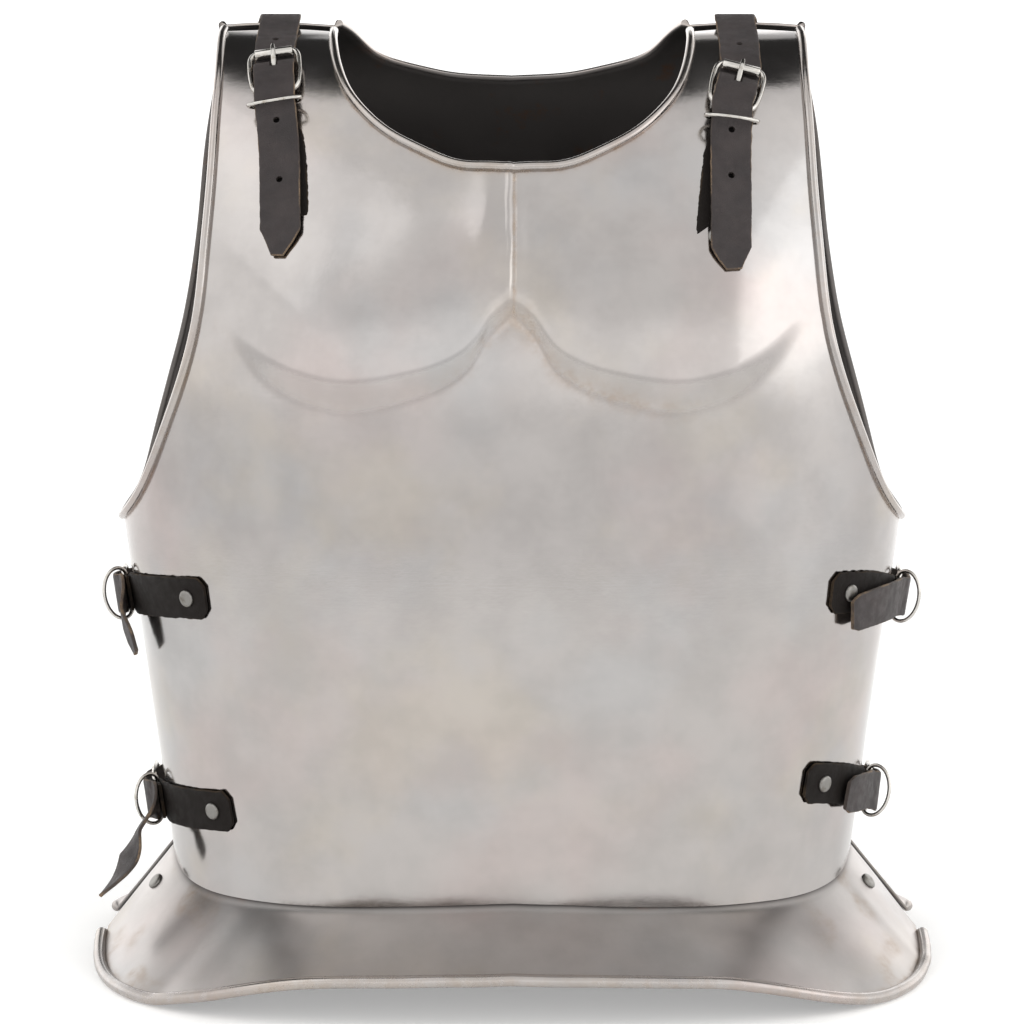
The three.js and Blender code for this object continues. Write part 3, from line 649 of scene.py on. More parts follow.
def frame_shift():
    """Offset from the tables' millimetres to the frame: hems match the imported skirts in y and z."""
    drawn = SimpleNamespace(plate=1.5 * MM, hem_roll=3.2 * MM, waves=0)
    front, back = [skirt_sheet(*row[1:], skirt_angles(), drawn)[0] for row in SKIRTS]
    low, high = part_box("front_skirt")[0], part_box("back_skirt")[1]
    y = (low.y + high.y) / 2 / MM - (front[..., 1].min() + back[..., 1].max()) / 2
    z = low.z / MM - min(front[..., 2].min(), back[..., 2].min())
    return np.array([0, y, z])


SHIFT = frame_shift()


# ---- straps ----
class Line:
    """Line over the plates that a strap follows, read by distance from its first knot."""

    def __init__(self, points, normals):
        self.points, self.normals = np.array(points, float), np.array(normals, float)
        self.t = np.linspace(0, len(points) - 1, 1500)
        self.reach = distances(self.points, self.t)

    def frames(self, distance):
        """Position, direction along, direction across and face normal; straight past the ends."""
        distance = np.atleast_1d(np.asarray(distance, float))
        held = np.clip(distance, 0, self.reach[-1])
        t = np.interp(held, self.reach, self.t)
        p, along, across, normal = spline_frames(self.points, self.normals, t)
        return p + along * (distance - held)[:, None], along, across, normal

    def first(self, test):
        """First distance, in steps of half a millimetre, where the test on the positions holds."""
        distance = np.arange(0, 400, 0.5)
        return distance[np.argmax(test(self.frames(distance)[0]))]


def spline_frames(points, normals, t):
    """Point of the spline, its direction, the direction across and the face normal made square to both."""
    low, high = np.maximum(t - 1e-3, 0), np.minimum(t + 1e-3, len(points) - 1)
    along = unit(catmull(points, high) - catmull(points, low))
    normal = catmull(normals, t)
    normal = unit(normal - along * np.sum(normal * along, axis=-1, keepdims=True))
    return catmull(points, t), along, np.cross(along, normal), normal


def first_of(frames):
    """The first frame alone."""
    return tuple(value[0] for value in frames)


def placed(frames, s=0.0, c=0.0, h=0.0):
    """Points s along, c across and h above each frame."""
    p, along, across, normal = frames
    s, c, h = [np.asarray(value, float)[..., None] for value in (s, c, h)]
    return p + along * s + across * c + normal * h


def on(skin, angle, up):
    """Point and normal of a skin."""
    return skin.point(angle, up), skin.normal(angle, up)


def shoulder_line(side, front):
    """Up the front plate, level over the crest and down the back plate."""
    knots = [on(FRONT, side * angle, up) for angle, up in front]
    top = knots[-1][0][0]
    knots.append((np.array([top, 3, 508.5]), np.array([0, 0, 1.0])))
    knots += [on(BACK, side * abs(top) * 0.281, up) for up in (0.975, 0.94, 0.9, 0.87, 0.84)]
    return Line(*zip(*knots))


def side_line(side, front, back):
    """Round the hip from the front plate over the open side to the back plate."""
    knots = [on(FRONT, side * angle, up) for angle, up in front]
    knots += [on(BACK, side * angle, up) for angle, up in back]
    return Line(*zip(*knots))


class Strap:
    """One strap: its line and the distances of its parts from the buckle's heel bar."""

    def __init__(self, line, bar, **spec):
        self.line, self.bar = line, bar
        self.__dict__.update(spec)
        self.rigid = line.frames(bar + REACH / 2)

    def along(self, s, h, c=0.0):
        """Knot on the curved line: position, face normal and place along."""
        p, along, across, normal = first_of(self.line.frames(self.bar + s))
        return p + across * c + normal * h, normal, s

    def near(self, s, h):
        """Knot in the buckle's own straight frame."""
        return self.local(s, 0, h), self.rigid[3][0], s

    def local(self, s, c, h):
        """Points in the buckle's own frame, s from the heel bar toward the roller bar."""
        return placed(first_of(self.rigid), np.asarray(s, float) - REACH / 2, c, h)

    def lean(self, s):
        """Sideways lean of the chape past the buckle."""
        return self.drift * max(0, -s - 12)


def billet_knots(strap, width):
    """Tail, over the heel bar, under the roller and on to the back plate: (point, normal, place, width)."""
    stack = [strap.along(s, h) for s, h in ((-21, 6.3), (-14, 7.2), (-8.5, 9.1))]
    crossing = [(-3, 10.5), (3, 10.5), (9, BAR + 4.7), (14, BAR + 3.7), (17, BAR + 2), (20, BAR - 1.5)]
    crossing += [(23, BAR - 3.8), (REACH, BAR - 4.15), (REACH + 4, BAR - 4.1)]
    stack += [strap.near(s, h) for s, h in crossing]
    stack += [strap.along(s, BILLET_LOW) for s in strap.back_runs]
    return strap.tail(strap, width) + [knot + (width,) for knot in stack]


def chape_knots(strap, width, thick, wire):
    """Lower layer from its cut end to the buckle, a round fold over the heel bar, and a short upper layer."""
    low, fold = CHAPE_LOW, wire + GAP + 0.15 + thick / 2
    end = strap.chape_end
    knots = [strap.along(end, low, strap.lean(end)) + (strap.chape_tip,)]
    for s in np.linspace(end + 4, -26, 7):
        knots.append(strap.along(s, low, strap.lean(s)) + (width,))
    knots.append(strap.along(-16, low, strap.lean(-16)) + (CHAPE_FOLD,))
    knots.append(strap.along(-7, low + 0.2) + (CHAPE_FOLD,))
    along, normal = strap.rigid[1][0], strap.rigid[3][0]
    for angle in np.radians((-90, -60, -30, 0, 30, 60, 90)):
        p = strap.local(fold * np.cos(angle), 0, BAR + fold * np.sin(angle))
        knots.append((p, -along * np.cos(angle) - normal * np.sin(angle), 2 + angle, CHAPE_FOLD))
    for s, h in ((-8, 6.6), (-12, 4.6), (-17, low + thick + 0.5), (-23, low + thick + 0.45)):
        p, n, _ = strap.along(s, h)
        knots.append((p, -n, s + 500, CHAPE_FOLD))
    return knots


def cell_middles(grid):
    """Mean of the four corners of each cell."""
    return (grid[1:, 1:] + grid[1:, :-1] + grid[:-1, 1:] + grid[:-1, :-1]) / 4


def band(knots, thick, holes, slots, seed, ragged=0.07):
    """A strap of leather: rows across a spline through the knots, each row a flat loop as wide as the knots
    say, with rounded uneven edges. Cells inside a hole or slot are left out, the points round a hole are
    drawn on to its circle, and walls join both faces there."""
    points, normals, places, widths = [np.array(column, float) for column in zip(*knots)]
    last = len(points) - 1
    fine = np.linspace(0, last, 60 * last + 1)
    reach = distances(points, fine)
    rows = np.linspace(0, reach[-1], int(reach[-1] / 0.75))
    t = np.interp(rows, reach, fine)
    near = np.abs(t[:, None] - np.arange(last + 1)).argmin(axis=0)
    t[near] = np.arange(last + 1)
    s = np.interp(t, np.arange(last + 1), places)
    half = np.interp(t, np.arange(last + 1), widths) / 2
    rough = [
        ragged * (ripple(rows, 0 * rows + k, 9, seed + k) + 0.7 * ripple(rows, 0 * rows, 2.2, seed + 7 + k))
        for k in (0, 1)
    ]
    u = np.sin(np.linspace(-1, 1, ACROSS) * np.pi / 2 * 0.82) / np.sin(np.pi / 2 * 0.82)
    c = mix(-(half + rough[0])[:, None], (half + rough[1])[:, None], (u + 1) / 2)
    place = np.repeat(s[:, None], ACROSS, axis=1)
    gone = np.zeros((len(t) - 1, ACROSS - 1), bool)
    for at, radius in holes:
        inside = np.hypot(cell_middles(place) - at, cell_middles(c)) < radius
        gone |= inside
        rim = border(inside)
        way = np.stack([place[rim] - at, c[rim]])
        way = way / np.linalg.norm(way, axis=0) * radius
        place[rim], c[rim] = at + way[0], way[1]
    for low, high, wide in slots:
        middle = cell_middles(place)
        gone |= (middle > low) & (middle < high) & (np.abs(cell_middles(c)) < wide)
    t_all = np.repeat(t[:, None], ACROSS, axis=1)
    moved = place != s[:, None]
    order = np.argsort(s)
    t_all[moved] = np.interp(place[moved], s[order], t[order])
    frames = [value.reshape(c.shape + (3,)) for value in spline_frames(points, normals, t_all.ravel())]
    edge = ease((np.abs(u) - 0.9) / 0.1)
    top, bottom = [placed(frames, 0, c, side * (thick / 2 - 0.22 * edge)) for side in (1, -1)]
    sides = []
    for column, sign in ((-1, 1), (0, -1)):
        only = tuple(value[:, column] for value in frames)
        bulge = c[:, column] + sign * (0.16 + 0.5 * rough[column + 1])
        pair = [placed(only, 0, bulge, level * thick) for level in (0.2, -0.2)]
        sides.append(np.stack(pair if sign > 0 else pair[::-1], axis=1))
    loops = np.concatenate([top, sides[0], bottom[:, ::-1], sides[1]], axis=1)
    from_side = np.minimum(c - c[:, :1], c[:, -1:] - c)
    from_end = np.minimum(rows, rows[-1] - rows)[:, None]
    raw = np.exp(-np.minimum(from_side, from_end) / 0.45)
    ones = np.ones((len(t), 2))
    values = {
        "edge": np.concatenate([raw, ones, raw[:, ::-1], ones], axis=1),
        "flesh": np.concatenate([0 * raw, 0.5 * ones, 0 * raw + 1, 0.5 * ones], axis=1),
    }
    return loops, band_faces(gone, loops.shape[1]), values


def border(inside):
    """Corner points shared by cells inside a mask and cells outside it."""
    padded = np.pad(inside, 1)
    corners = np.stack([padded[1:, 1:], padded[1:, :-1], padded[:-1, 1:], padded[:-1, :-1]])
    return corners.any(axis=0) & ~corners.all(axis=0)


def band_faces(gone, count):
    """Quads of a band whose loops run over the top, 2 points down one side, back underneath and 2 up the
    other side. Cells that are gone are left out on both faces and walled in."""
    rows, wide = gone.shape
    k = np.arange(count)
    here = np.arange(rows)[:, None] * count
    turn = here + (k + 1) % count
    quads = np.stack([here + k, turn, turn + count, here + count + k], axis=-1)
    under = 2 * wide + 3
    keep = np.ones((rows, count), bool)
    keep[:, :wide] = ~gone
    keep[:, wide + 3 : under] = ~gone[:, ::-1]
    faces = quads[keep].tolist()
    padded = np.pad(gone, 1)
    walls = (
        (padded[:-2, 1:-1], (0, 0), (0, 1)),
        (padded[2:, 1:-1], (1, 0), (1, 1)),
        (padded[1:-1, :-2], (0, 0), (1, 0)),
        (padded[1:-1, 2:], (0, 1), (1, 1)),
    )
    for beyond, first, second in walls:
        row, column = np.nonzero(gone & ~beyond)
        a, b = [((row + down) * count, column + over) for down, over in (first, second)]
        corners = [a[0] + a[1], b[0] + b[1], b[0] + under - b[1], a[0] + under - a[1]]
        faces += np.stack(corners, axis=-1).tolist()
    return faces + [list(range(count)), list(range(rows * count, (rows + 1) * count))]


# ---- wires and rivets ----
def wire(path, radius, plane, sides):
    """Round wire: circles square to a closed path that lies in the plane with that normal."""
    along = unit(np.roll(path, -1, axis=0) - np.roll(path, 1, axis=0))
    out = unit(np.cross(along, plane))
    up = np.cross(out, along)
    angle = np.linspace(0, 2 * np.pi, sides, endpoint=False)[None, :, None]
    return path[:, None] + (out[:, None] * np.cos(angle) + up[:, None] * np.sin(angle)) * radius


def rounded_power(value, power):
    """Power of the size, with the sign kept."""
    return np.sign(value) * np.abs(value) ** power


def rounded_path(corners, steps=10):
    """Smooth path through the corners of an outline in its own plane."""
    return catmull(corners, np.linspace(0, len(corners) - 1, steps * (len(corners) - 1) + 1))


def buckle_frame(strap, fittings):
    """Bent wire: straight heel bar and roller bar joined by sides that belly out."""
    half = rounded_path([(s, c) for s, c in FRAME_HALF])
    outline = np.concatenate([half * [1, -1], half[::-1]])
    path = strap.local(outline[:, 0], outline[:, 1], BAR)
    return wire(path, fittings.wire / MM, strap.rigid[3][0], fittings.sides)


def roller_tube(strap, fittings):
    """Tube round the roller bar, with rounded lips: a profile turned round the bar."""
    low, high = fittings.wire / MM + 0.45, fittings.wire / MM + 1.25
    profile = np.array([(low, -9.3), (low + 0.2, -9.6), (high - 0.2, -9.6), (high, -9.3), (high, 0)])
    profile = np.concatenate([profile, profile[-2::-1] * [1, -1]])
    angle = np.linspace(0, 2 * np.pi, 2 * fittings.sides, endpoint=False)[:, None]
    r, c = profile[:, 0], profile[:, 1] + 0 * angle
    return strap.local(REACH + r * np.cos(angle), c, BAR + r * np.sin(angle))


def tongue_strip(strap, fittings):
    """Flat rod: an eye bent round the heel bar, then a shank that lies on the roller and ends rounded."""
    eye = fittings.wire / MM + GAP + 0.65
    angle = np.radians(np.linspace(-30, -250, 16))
    curl = np.stack([eye * np.cos(angle), BAR + eye * np.sin(angle)], axis=-1)
    shank = [(6, BAR + 2.45), (15, BAR + 2.3), (22, BAR + 3.2), (REACH, BAR + 3.5), (REACH + 3.8, BAR + 3.3)]
    path = np.concatenate([curl, rounded_path([tuple(curl[-1])] + shank, 8)[1:]])
    along = unit(np.gradient(path, axis=0))
    up = np.stack([-along[:, 1], along[:, 0]], axis=-1)
    taper = np.interp(path[:, 0], [12, REACH, REACH + 2.6, REACH + 3.8], [1, 0.86, 0.7, 0.3])[:, None]
    turn = np.linspace(0, 2 * np.pi, 20, endpoint=False)
    wide, tall = 1.35 * rounded_power(np.cos(turn), 0.6), 0.62 * rounded_power(np.sin(turn), 0.6)
    s, h = [path[:, k : k + 1] + up[:, k : k + 1] * tall * taper for k in (0, 1)]
    return strap.local(s, wide * taper, h)


def keeper_ring(strap, fittings):
    """Wire ring: a straight run under the strap, round corners, and an arch over the top that is part of an
    ellipse; the ring leans toward the tail."""
    frames = first_of(strap.line.frames(strap.bar + KEEPER_AT))
    corner = np.radians(np.linspace(-90, 0, 9))
    low_c, low_v = KEEPER_FLAT + KEEPER_HALF * np.cos(corner), KEEPER_HALF * np.sin(corner)
    arch = np.radians(np.linspace(0, 180, 41))[1:-1]
    power = 1 if strap.arch > KEEPER_HALF else 0.55
    arch_c = (KEEPER_FLAT + KEEPER_HALF) * rounded_power(np.cos(arch), power)
    arch_v = strap.arch * np.sin(arch) ** power
    run = np.linspace(-KEEPER_FLAT, KEEPER_FLAT, 12)[1:-1]
    c = np.concatenate([low_c, arch_c, -low_c[::-1], run])
    v = np.concatenate([low_v, arch_v, low_v[::-1], np.full(10, -KEEPER_HALF)])
    path = placed(frames, -v * KEEPER_SLANT, c, KEEPER_MID + v)
    plane = unit(np.cross(path[20] - path[0], path[45] - path[0]))
    return wire(path, fittings.ring / MM, plane, fittings.sides)


def add_rivet(node, frames, c, h, fittings):
    """Low dome turned about its axis, c across and h above the frame: its height falls off as the square
    root of one minus the fifth power of the radius."""
    r = np.array([0.02, 0.15, 0.3, 0.45, 0.6, 0.72, 0.82, 0.9, 0.96, 0.99, 1, 1])
    z = 0.18 + 0.82 * np.sqrt(np.maximum(0, 1 - r**5))
    z[-2:] = (0.1, 0)
    angle = np.linspace(0, 2 * np.pi, 40, endpoint=False)[:, None]
    r = np.concatenate([r, [0.02]]) * fittings.rivet / MM
    z = np.concatenate([z, [0]]) * fittings.rivet_rise / MM
    head = placed(frames, r * np.cos(angle), c + r * np.sin(angle), h + z + 0 * angle)
    make_piece(node, "head", head, loop_faces(*head.shape[:2], True), "rivet")


# ---- the six straps ----
def hanging(tip, slant, wide, cut):
    """Tail of a shoulder billet, cut to a blunt point."""

    def tail(strap, width):
        rows = [(tip, slant, wide), (tip + cut, 0, width)] + [(tip + k, 0, width) for k in (31, 48, 64)]
        return [strap.along(s, 6.1, c) + (w,) for s, c, w in rows]

    return tail


def forward(length, drop, end):
    """Tail that lies forward over the chape and turns down toward its end."""

    def tail(strap, width):
        rows = [(-length, drop, end), (-length + 5, drop * 0.88, width - 1)]
        rows += [(-length * 0.72, drop * 0.55, width), (-length * 0.48, drop * 0.2, width)]
        return [strap.along(s, 6.2, c) + (w,) for s, c, w in rows]

    return tail


def free(*rows):
    """Tail that hangs free through rows of point, face direction and width."""

    def tail(strap, width):
        reach = -21 - 12 * np.arange(len(rows), 0, -1)
        return [(np.array(p, float), unit(np.array(n, float)), s, w) for (p, n, w), s in zip(rows, reach)]

    return tail


SHOULDERS = {  # side, angles and shares of the way up the front plate, height of the buckle, other values
    "left_shoulder": (
        -1, [(30.6, 0.69), (30.9, 0.76), (31.4, 0.83), (32.3, 0.88), (33, 0.92), (33.5, 0.95), (33.5, 0.984)],
        468, dict(drift=0.05, chape_end=-71, front_rivet=-60, back_rivet=107, back_runs=SHOULDER_RUNS,
                  tail=hanging(-91, -1.5, 6, 13), holes=(-52, -19, 43), arch=4.3),
    ),
    "right_shoulder": (
        1, [(28.8, 0.68), (29.1, 0.75), (29.4, 0.82), (30, 0.88), (31.2, 0.91), (32, 0.94), (32.2, 0.984)],
        460.5, dict(drift=-0.11, chape_end=-80, front_rivet=-71, back_rivet=116,
                    back_runs=SHOULDER_RUNS + (125,), tail=hanging(-88, 1.5, 8, 11), holes=(-40, -15, 50),
                    arch=6.5),
    ),
}
SIDES = {  # side, front knots, shares up the back plate, place of the rivet, leather past it, tail
    "left_upper": (
        -1, [(40, 0.331), (49, 0.327), (58, 0.322), (68, 0.316), (78, 0.31), (86, 0.306)], UPPER_BACK,
        164.5, 12,
        free(((-197, -57, 180), (-1, -0.3, -0.2), 9), ((-201, -53, 189), (-1, -0.3, -0.2), 19),
             ((-205, -47, 197.5), (-1, -0.2, -0.2), 20.5)),
    ),
    "left_lower": (
        -1, [(40, 0.082), (49, 0.076), (58, 0.071), (68, 0.066), (78, 0.062), (86, 0.061)], LOWER_BACK,
        153.7, 12,
        free(((-218, -57, 49), (-0.8, 0.1, 0.6), 7), ((-210, -57, 58), (-0.75, -0.15, 0.62), 17),
             ((-203, -55, 69), (-0.75, -0.45, 0.45), 20), ((-199, -48, 81), (-1, -0.25, 0.1), 20.5)),
    ),
    "right_upper": (
        1, [(43, 0.333), (52, 0.331), (61, 0.324), (70, 0.313), (79, 0.306), (86, 0.304)], UPPER_BACK,
        171.8, 13, forward(80, 11, 15),
    ),
    "right_lower": (
        1, [(43, 0.109), (52, 0.103), (61, 0.093), (70, 0.081), (79, 0.07), (86, 0.065)], LOWER_BACK,
        160.7, 13, forward(56, 5, 15),
    ),
}


def make_straps():
    """The two shoulder straps and four side straps by name."""
    straps = {}
    for name, (side, front, height, spec) in SHOULDERS.items():
        line = shoulder_line(side, front)
        bar = line.first(lambda p, z=height: p[:, 2] > z)
        straps[name] = Strap(line, bar, chape_tip=20, **spec)
    for name, (side, front, shares, rivet_x, extra, tail) in SIDES.items():
        line = side_line(side, front, list(zip((86, 76, 66, 56), shares)))
        bar = line.first(lambda p: p[:, 1] > -16)
        rivet = line.first(lambda p, x=rivet_x: np.abs(p[:, 0]) > x) - bar
        straps[name] = Strap(
            line, bar, drift=0, chape_end=rivet - extra, chape_tip=13, front_rivet=rivet, back_rivet=76,
            back_runs=(37, 44, 51, 58, 65, 72, 78, 84), tail=tail, holes=(), arch=8.5,
        )
    return straps


STRAPS = make_straps()


# ---- materials ----
class Nodes:
    """A node tree under construction."""

    def node(self, kind, inputs=None, **settings):
        """A new node with its settings and input values or links."""
        node = self.tree.nodes.new(kind)
        for key, value in settings.items():
            setattr(node, key, value)
        for key, value in (inputs or {}).items():
            self.feed(node.inputs[key], value)
        return node

    def feed(self, socket, value):
        """Links an output to a socket, or sets the socket's own value."""
        if isinstance(value, bpy.types.NodeSocket):
            self.tree.links.new(value, socket)
        else:
            socket.default_value = value

    def between(self, value, low, high, to=(0.0, 1.0)):
        """The value read from low to high as a number between the two of to, held at both."""
        inputs = {"Value": value, "From Min": low, "From Max": high, "To Min": to[0], "To Max": to[1]}
        return self.node("ShaderNodeMapRange", inputs, interpolation_type="SMOOTHSTEP").outputs[0]

    def maths(self, operation, a, b=0.0):
        """Result of one operation on two numbers."""
        return self.node("ShaderNodeMath", {0: a, 1: b}, operation=operation).outputs[0]

    def times(self, a, b):
        """Product of two numbers."""
        return self.maths("MULTIPLY", a, b)

    def plus(self, a, b):
        """Sum of two numbers."""
        return self.maths("ADD", a, b)


class Finish(Nodes):
    """A material under construction and its main shader."""

    def __init__(self, name, metallic=0.0):
        self.material = bpy.data.materials.new(name)
        self.material.use_nodes = True
        self.tree = self.material.node_tree
        self.shader = self.tree.nodes["Principled BSDF"]
        self.place = self.node("ShaderNodeTexCoord").outputs["Object"]
        self.give("Metallic", metallic)

    def give(self, name, value):
        """Feeds one of the shader's sockets."""
        self.feed(self.shader.inputs[name], value)

    def noise(self, scale, detail=3.0, stretch=(1, 1, 1), shift=0.0, distortion=0.0, rough=0.5):
        """Cloudy pattern of that many features a metre."""
        mapping = {"Vector": self.place, "Location": (shift,) * 3, "Scale": stretch}
        spot = self.node("ShaderNodeMapping", mapping).outputs[0]
        inputs = {"Vector": spot, "Scale": scale, "Detail": detail, "Distortion": distortion}
        inputs["Roughness"] = rough
        return self.node("ShaderNodeTexNoise", inputs).outputs["Fac"]

    def blend(self, amount, a, b, kind="MIX"):
        """Colour a blended toward colour b."""
        node = self.node("ShaderNodeMix", data_type="RGBA", blend_type=kind)
        sockets = [socket for socket in node.inputs if socket.enabled]
        for socket, value in zip(sockets, (amount, a, b)):
            self.feed(socket, value)
        return [socket for socket in node.outputs if socket.enabled][0]

    def attribute(self, name):
        """A number stored on the mesh's points."""
        return self.node("ShaderNodeAttribute", attribute_name=name).outputs["Fac"]

    def bump(self, height, strength, distance, normal=None):
        """Surface relief from a height pattern."""
        inputs = {"Height": height, "Strength": strength, "Distance": distance}
        if normal is not None:
            inputs["Normal"] = normal
        return self.node("ShaderNodeBump", inputs).outputs[0]


def tone(colour, factor=(1, 1, 1)):
    """A colour for a socket, scaled channel by channel."""
    return tuple(value * k for value, k in zip(colour, factor)) + (1.0,)


def steel_finish(steel):
    """Polished plate: clouded pink, blue and tan patches, faint polishing lines, brown film where the mesh
    marks a stain and, in places, painted shade (the dark line down the breastbone fold, the dark reflection
    patches at the skirts' corners), pits, and an unpolished near-black inside with traces of rust, also painted
    as the shadow line on the skirts' collars below the plates."""
    f = Finish("satin_steel", 1.0)
    pink = f.between(f.noise(9, 3, shift=3.1), 0.44, 0.66)
    cool = f.between(f.noise(12, 3, shift=7.7), 0.48, 0.68)
    tan = f.between(f.noise(14, 4, shift=1.3), 0.5, 0.72)
    colour = f.blend(pink, tone(steel.colour), tone(steel.colour, (1.06, 1.0, 0.995)))
    colour = f.blend(cool, colour, tone(steel.colour, (0.98, 1.005, 1.025)))
    colour = f.blend(f.times(tan, 0.6), colour, tone(steel.colour, (1.08, 1.04, 0.95)))
    cloud = f.between(f.noise(30, 5, shift=5.2, rough=0.6), 0.3, 0.7, (0.93, 1.05))
    grey = f.node("ShaderNodeCombineColor", {0: cloud, 1: cloud, 2: cloud}).outputs[0]
    colour = f.blend(1.0, colour, grey, "MULTIPLY")
    broken = f.between(f.noise(160, 6, shift=9.4, rough=0.7), 0.35, 0.7)
    # Film: real stains, and painted shade where the attribute marks the breastbone fold's line and the skirts'
    # corner patches.
    film_and_painted_shade = f.times(f.attribute("stain_and_painted_shade"), f.plus(f.times(broken, 0.8), 0.2))
    colour = f.blend(film_and_painted_shade, colour, tone(steel.stain_and_painted_shade))
    freckle = f.between(f.noise(420, 2, shift=2.2), 0.76, 0.82)
    freckle = f.times(freckle, f.between(f.noise(17, 2, shift=4.4), 0.5, 0.7, (0.0, 0.3)))
    colour = f.blend(freckle, colour, tone(steel.stain_and_painted_shade, (0.6, 0.5, 0.5)))
    rust = f.times(f.between(f.noise(38, 6, shift=8.8, rough=0.65), 0.58, 0.76), 0.75)
    dark = f.blend(rust, tone(steel.inside), tone(steel.stain_and_painted_shade, (0.35, 0.22, 0.15)))
    # The inside attribute is also a painted shadow on the skirts' collars below the plates.
    inside = f.attribute("inside")
    f.give("Base Color", f.blend(inside, colour, dark))
    smudge = f.between(f.noise(24, 5, shift=6.6, rough=0.6), 0.3, 0.75, (-0.03, 0.07))
    rough = f.plus(smudge, steel.roughness)
    for layer, gain in ((film_and_painted_shade, 0.3), (inside, 0.3), (f.attribute("dull"), 0.2)):
        rough = f.plus(rough, f.times(layer, gain))
    f.give("Roughness", rough)
    lines = f.noise(900, 2, stretch=(0.06, 0.06, 1.0), shift=0.7)
    pits = f.noise(300, 5, shift=0.2, rough=0.7)
    relief = f.bump(pits, 0.1, 0.00025, f.bump(lines, 0.025, 0.0002))
    f.give("Normal", f.bump(f.times(broken, film_and_painted_shade), 0.35, 0.0002, relief))
    return f.material


def leather_finish(leather, name="strap_leather", depth=1.0, gloss=0.3):
    """Dyed strap leather: fine pebbled grain with creases, duller and browner underneath, tan fibres on cut
    edges."""
    f = Finish(name)
    cloud = f.between(f.noise(60, 5, shift=2.0, rough=0.6), 0.3, 0.75)
    colour = f.blend(cloud, tone(leather.colour, (0.85, 0.85, 0.86)), tone(leather.colour, (1.25, 1.2, 1.18)))
    rub = f.between(f.noise(130, 5, shift=5.0, rough=0.7), 0.6, 0.75, (0.0, 0.5))
    colour = f.blend(rub, colour, tone(leather.colour, (1.8, 1.7, 1.65)))
    colour = f.blend(f.times(f.attribute("flesh"), 0.8), colour, tone(leather.flesh))
    fibre = f.between(f.noise(1500, 4, shift=1.0, rough=0.7), 0.3, 0.62)
    patchy = f.between(f.noise(70, 4, shift=3.7), 0.42, 0.62, (0.08, 1.0))
    edge = f.times(f.times(f.between(f.attribute("edge"), 0.35, 0.95), fibre), patchy)
    colour = f.blend(edge, colour, tone(leather.raw_edge))
    # depth darkens the whole colour; for the chapes it is partly painted shade.
    f.give("Base Color", f.blend(1.0, colour, (depth, depth * 0.96, depth * 0.93, 1.0), "MULTIPLY"))
    rough = f.between(f.noise(200, 4, shift=7.0), 0.3, 0.7, (0.5, 0.68))
    f.give("Roughness", f.plus(rough, f.times(edge, 0.25)))
    f.give("Specular IOR Level", gloss)
    pebble = f.node("ShaderNodeTexVoronoi", {"Vector": f.place, "Scale": 1500.0, "Randomness": 1.0})
    creased = f.noise(420, 5, shift=3.3, distortion=0.6, rough=0.65)
    relief = f.bump(creased, 0.4, 0.0004, f.bump(pebble.outputs["Distance"], 0.35, 0.00012))
    f.give("Normal", f.bump(fibre, 0.5, 0.0003, relief))
    return f.material


def nickel_finish(fittings, name="nickel_plate", depth=1.0, dull=0.0):
    """Plated wire: bright, a little yellow, with dull tarnished patches and fine scratches."""
    f = Finish(name, 1.0)
    tarnish = f.between(f.noise(260, 5, shift=1.9, rough=0.65), 0.5, 0.72)
    colour = f.blend(tarnish, tone(fittings.colour), tone(fittings.colour, (0.72, 0.68, 0.62)))
    # depth darkens the whole colour; for the rivets it is partly painted shade of darker reflections.
    f.give("Base Color", f.blend(1.0, colour, (depth, depth, depth, 1.0), "MULTIPLY"))
    f.give("Roughness", f.between(tarnish, 0.0, 1.0, (0.16 + dull, 0.36 + dull)))
    scratch = f.noise(1400, 3, stretch=(1, 0.15, 1), shift=4.0)
    f.give("Normal", f.bump(scratch, 0.12, 0.0001))
    return f.material


def floor_finish(stage):
    """Matt pale paper that thins away to nothing far from the object."""
    f = Finish("pale_floor")
    far = f.node("ShaderNodeVectorMath", {0: f.place}, operation="LENGTH").outputs["Value"]
    f.give("Alpha", f.between(far, 0.45, 1.5, (1.0, 0.0)))
    shade = f.between(f.noise(1.5, 3), 0.3, 0.7)
    f.give("Base Color", f.blend(shade, tone(stage.floor), tone(stage.floor, (0.985, 0.985, 0.98))))
    f.give("Roughness", 0.9)
    f.give("Emission Color", (1, 1, 1, 1))
    f.give("Emission Strength", 0.3)
    return f.material


FINISHES = {}


MAKERS = {
    "steel": lambda scene: steel_finish(scene.cuirass_steel),
    "leather": lambda scene: leather_finish(scene.cuirass_leather),
    # Chapes: a darker copy of the strap leather, partly a darker leather and partly painted shade of the chapes
    # that face sideways.
    "darker_and_shaded_leather": lambda scene: leather_finish(scene.cuirass_leather, "chape_leather", 0.22, 0.1),
    "nickel": lambda scene: nickel_finish(scene.cuirass_fittings),
    # Rivets: a darker, rougher copy of the nickel, partly a duller metal and partly painted shade for their
    # darker reflections.
    "rivet": lambda scene: nickel_finish(scene.cuirass_fittings, "dull_rivet_with_painted_shade", 0.42, 0.2),
    "floor": lambda scene: floor_finish(scene.cuirass_stage),
}


def finish(kind):
    """The shared material of a kind, made the first time it is asked for."""
    if kind not in FINISHES:
        FINISHES[kind] = MAKERS[kind](bpy.context.scene)
    return FINISHES[kind]


# ---- operators ----
class Part:
    """Common base of the operators that make pieces."""

    bl_options = {"REGISTER", "UNDO"}


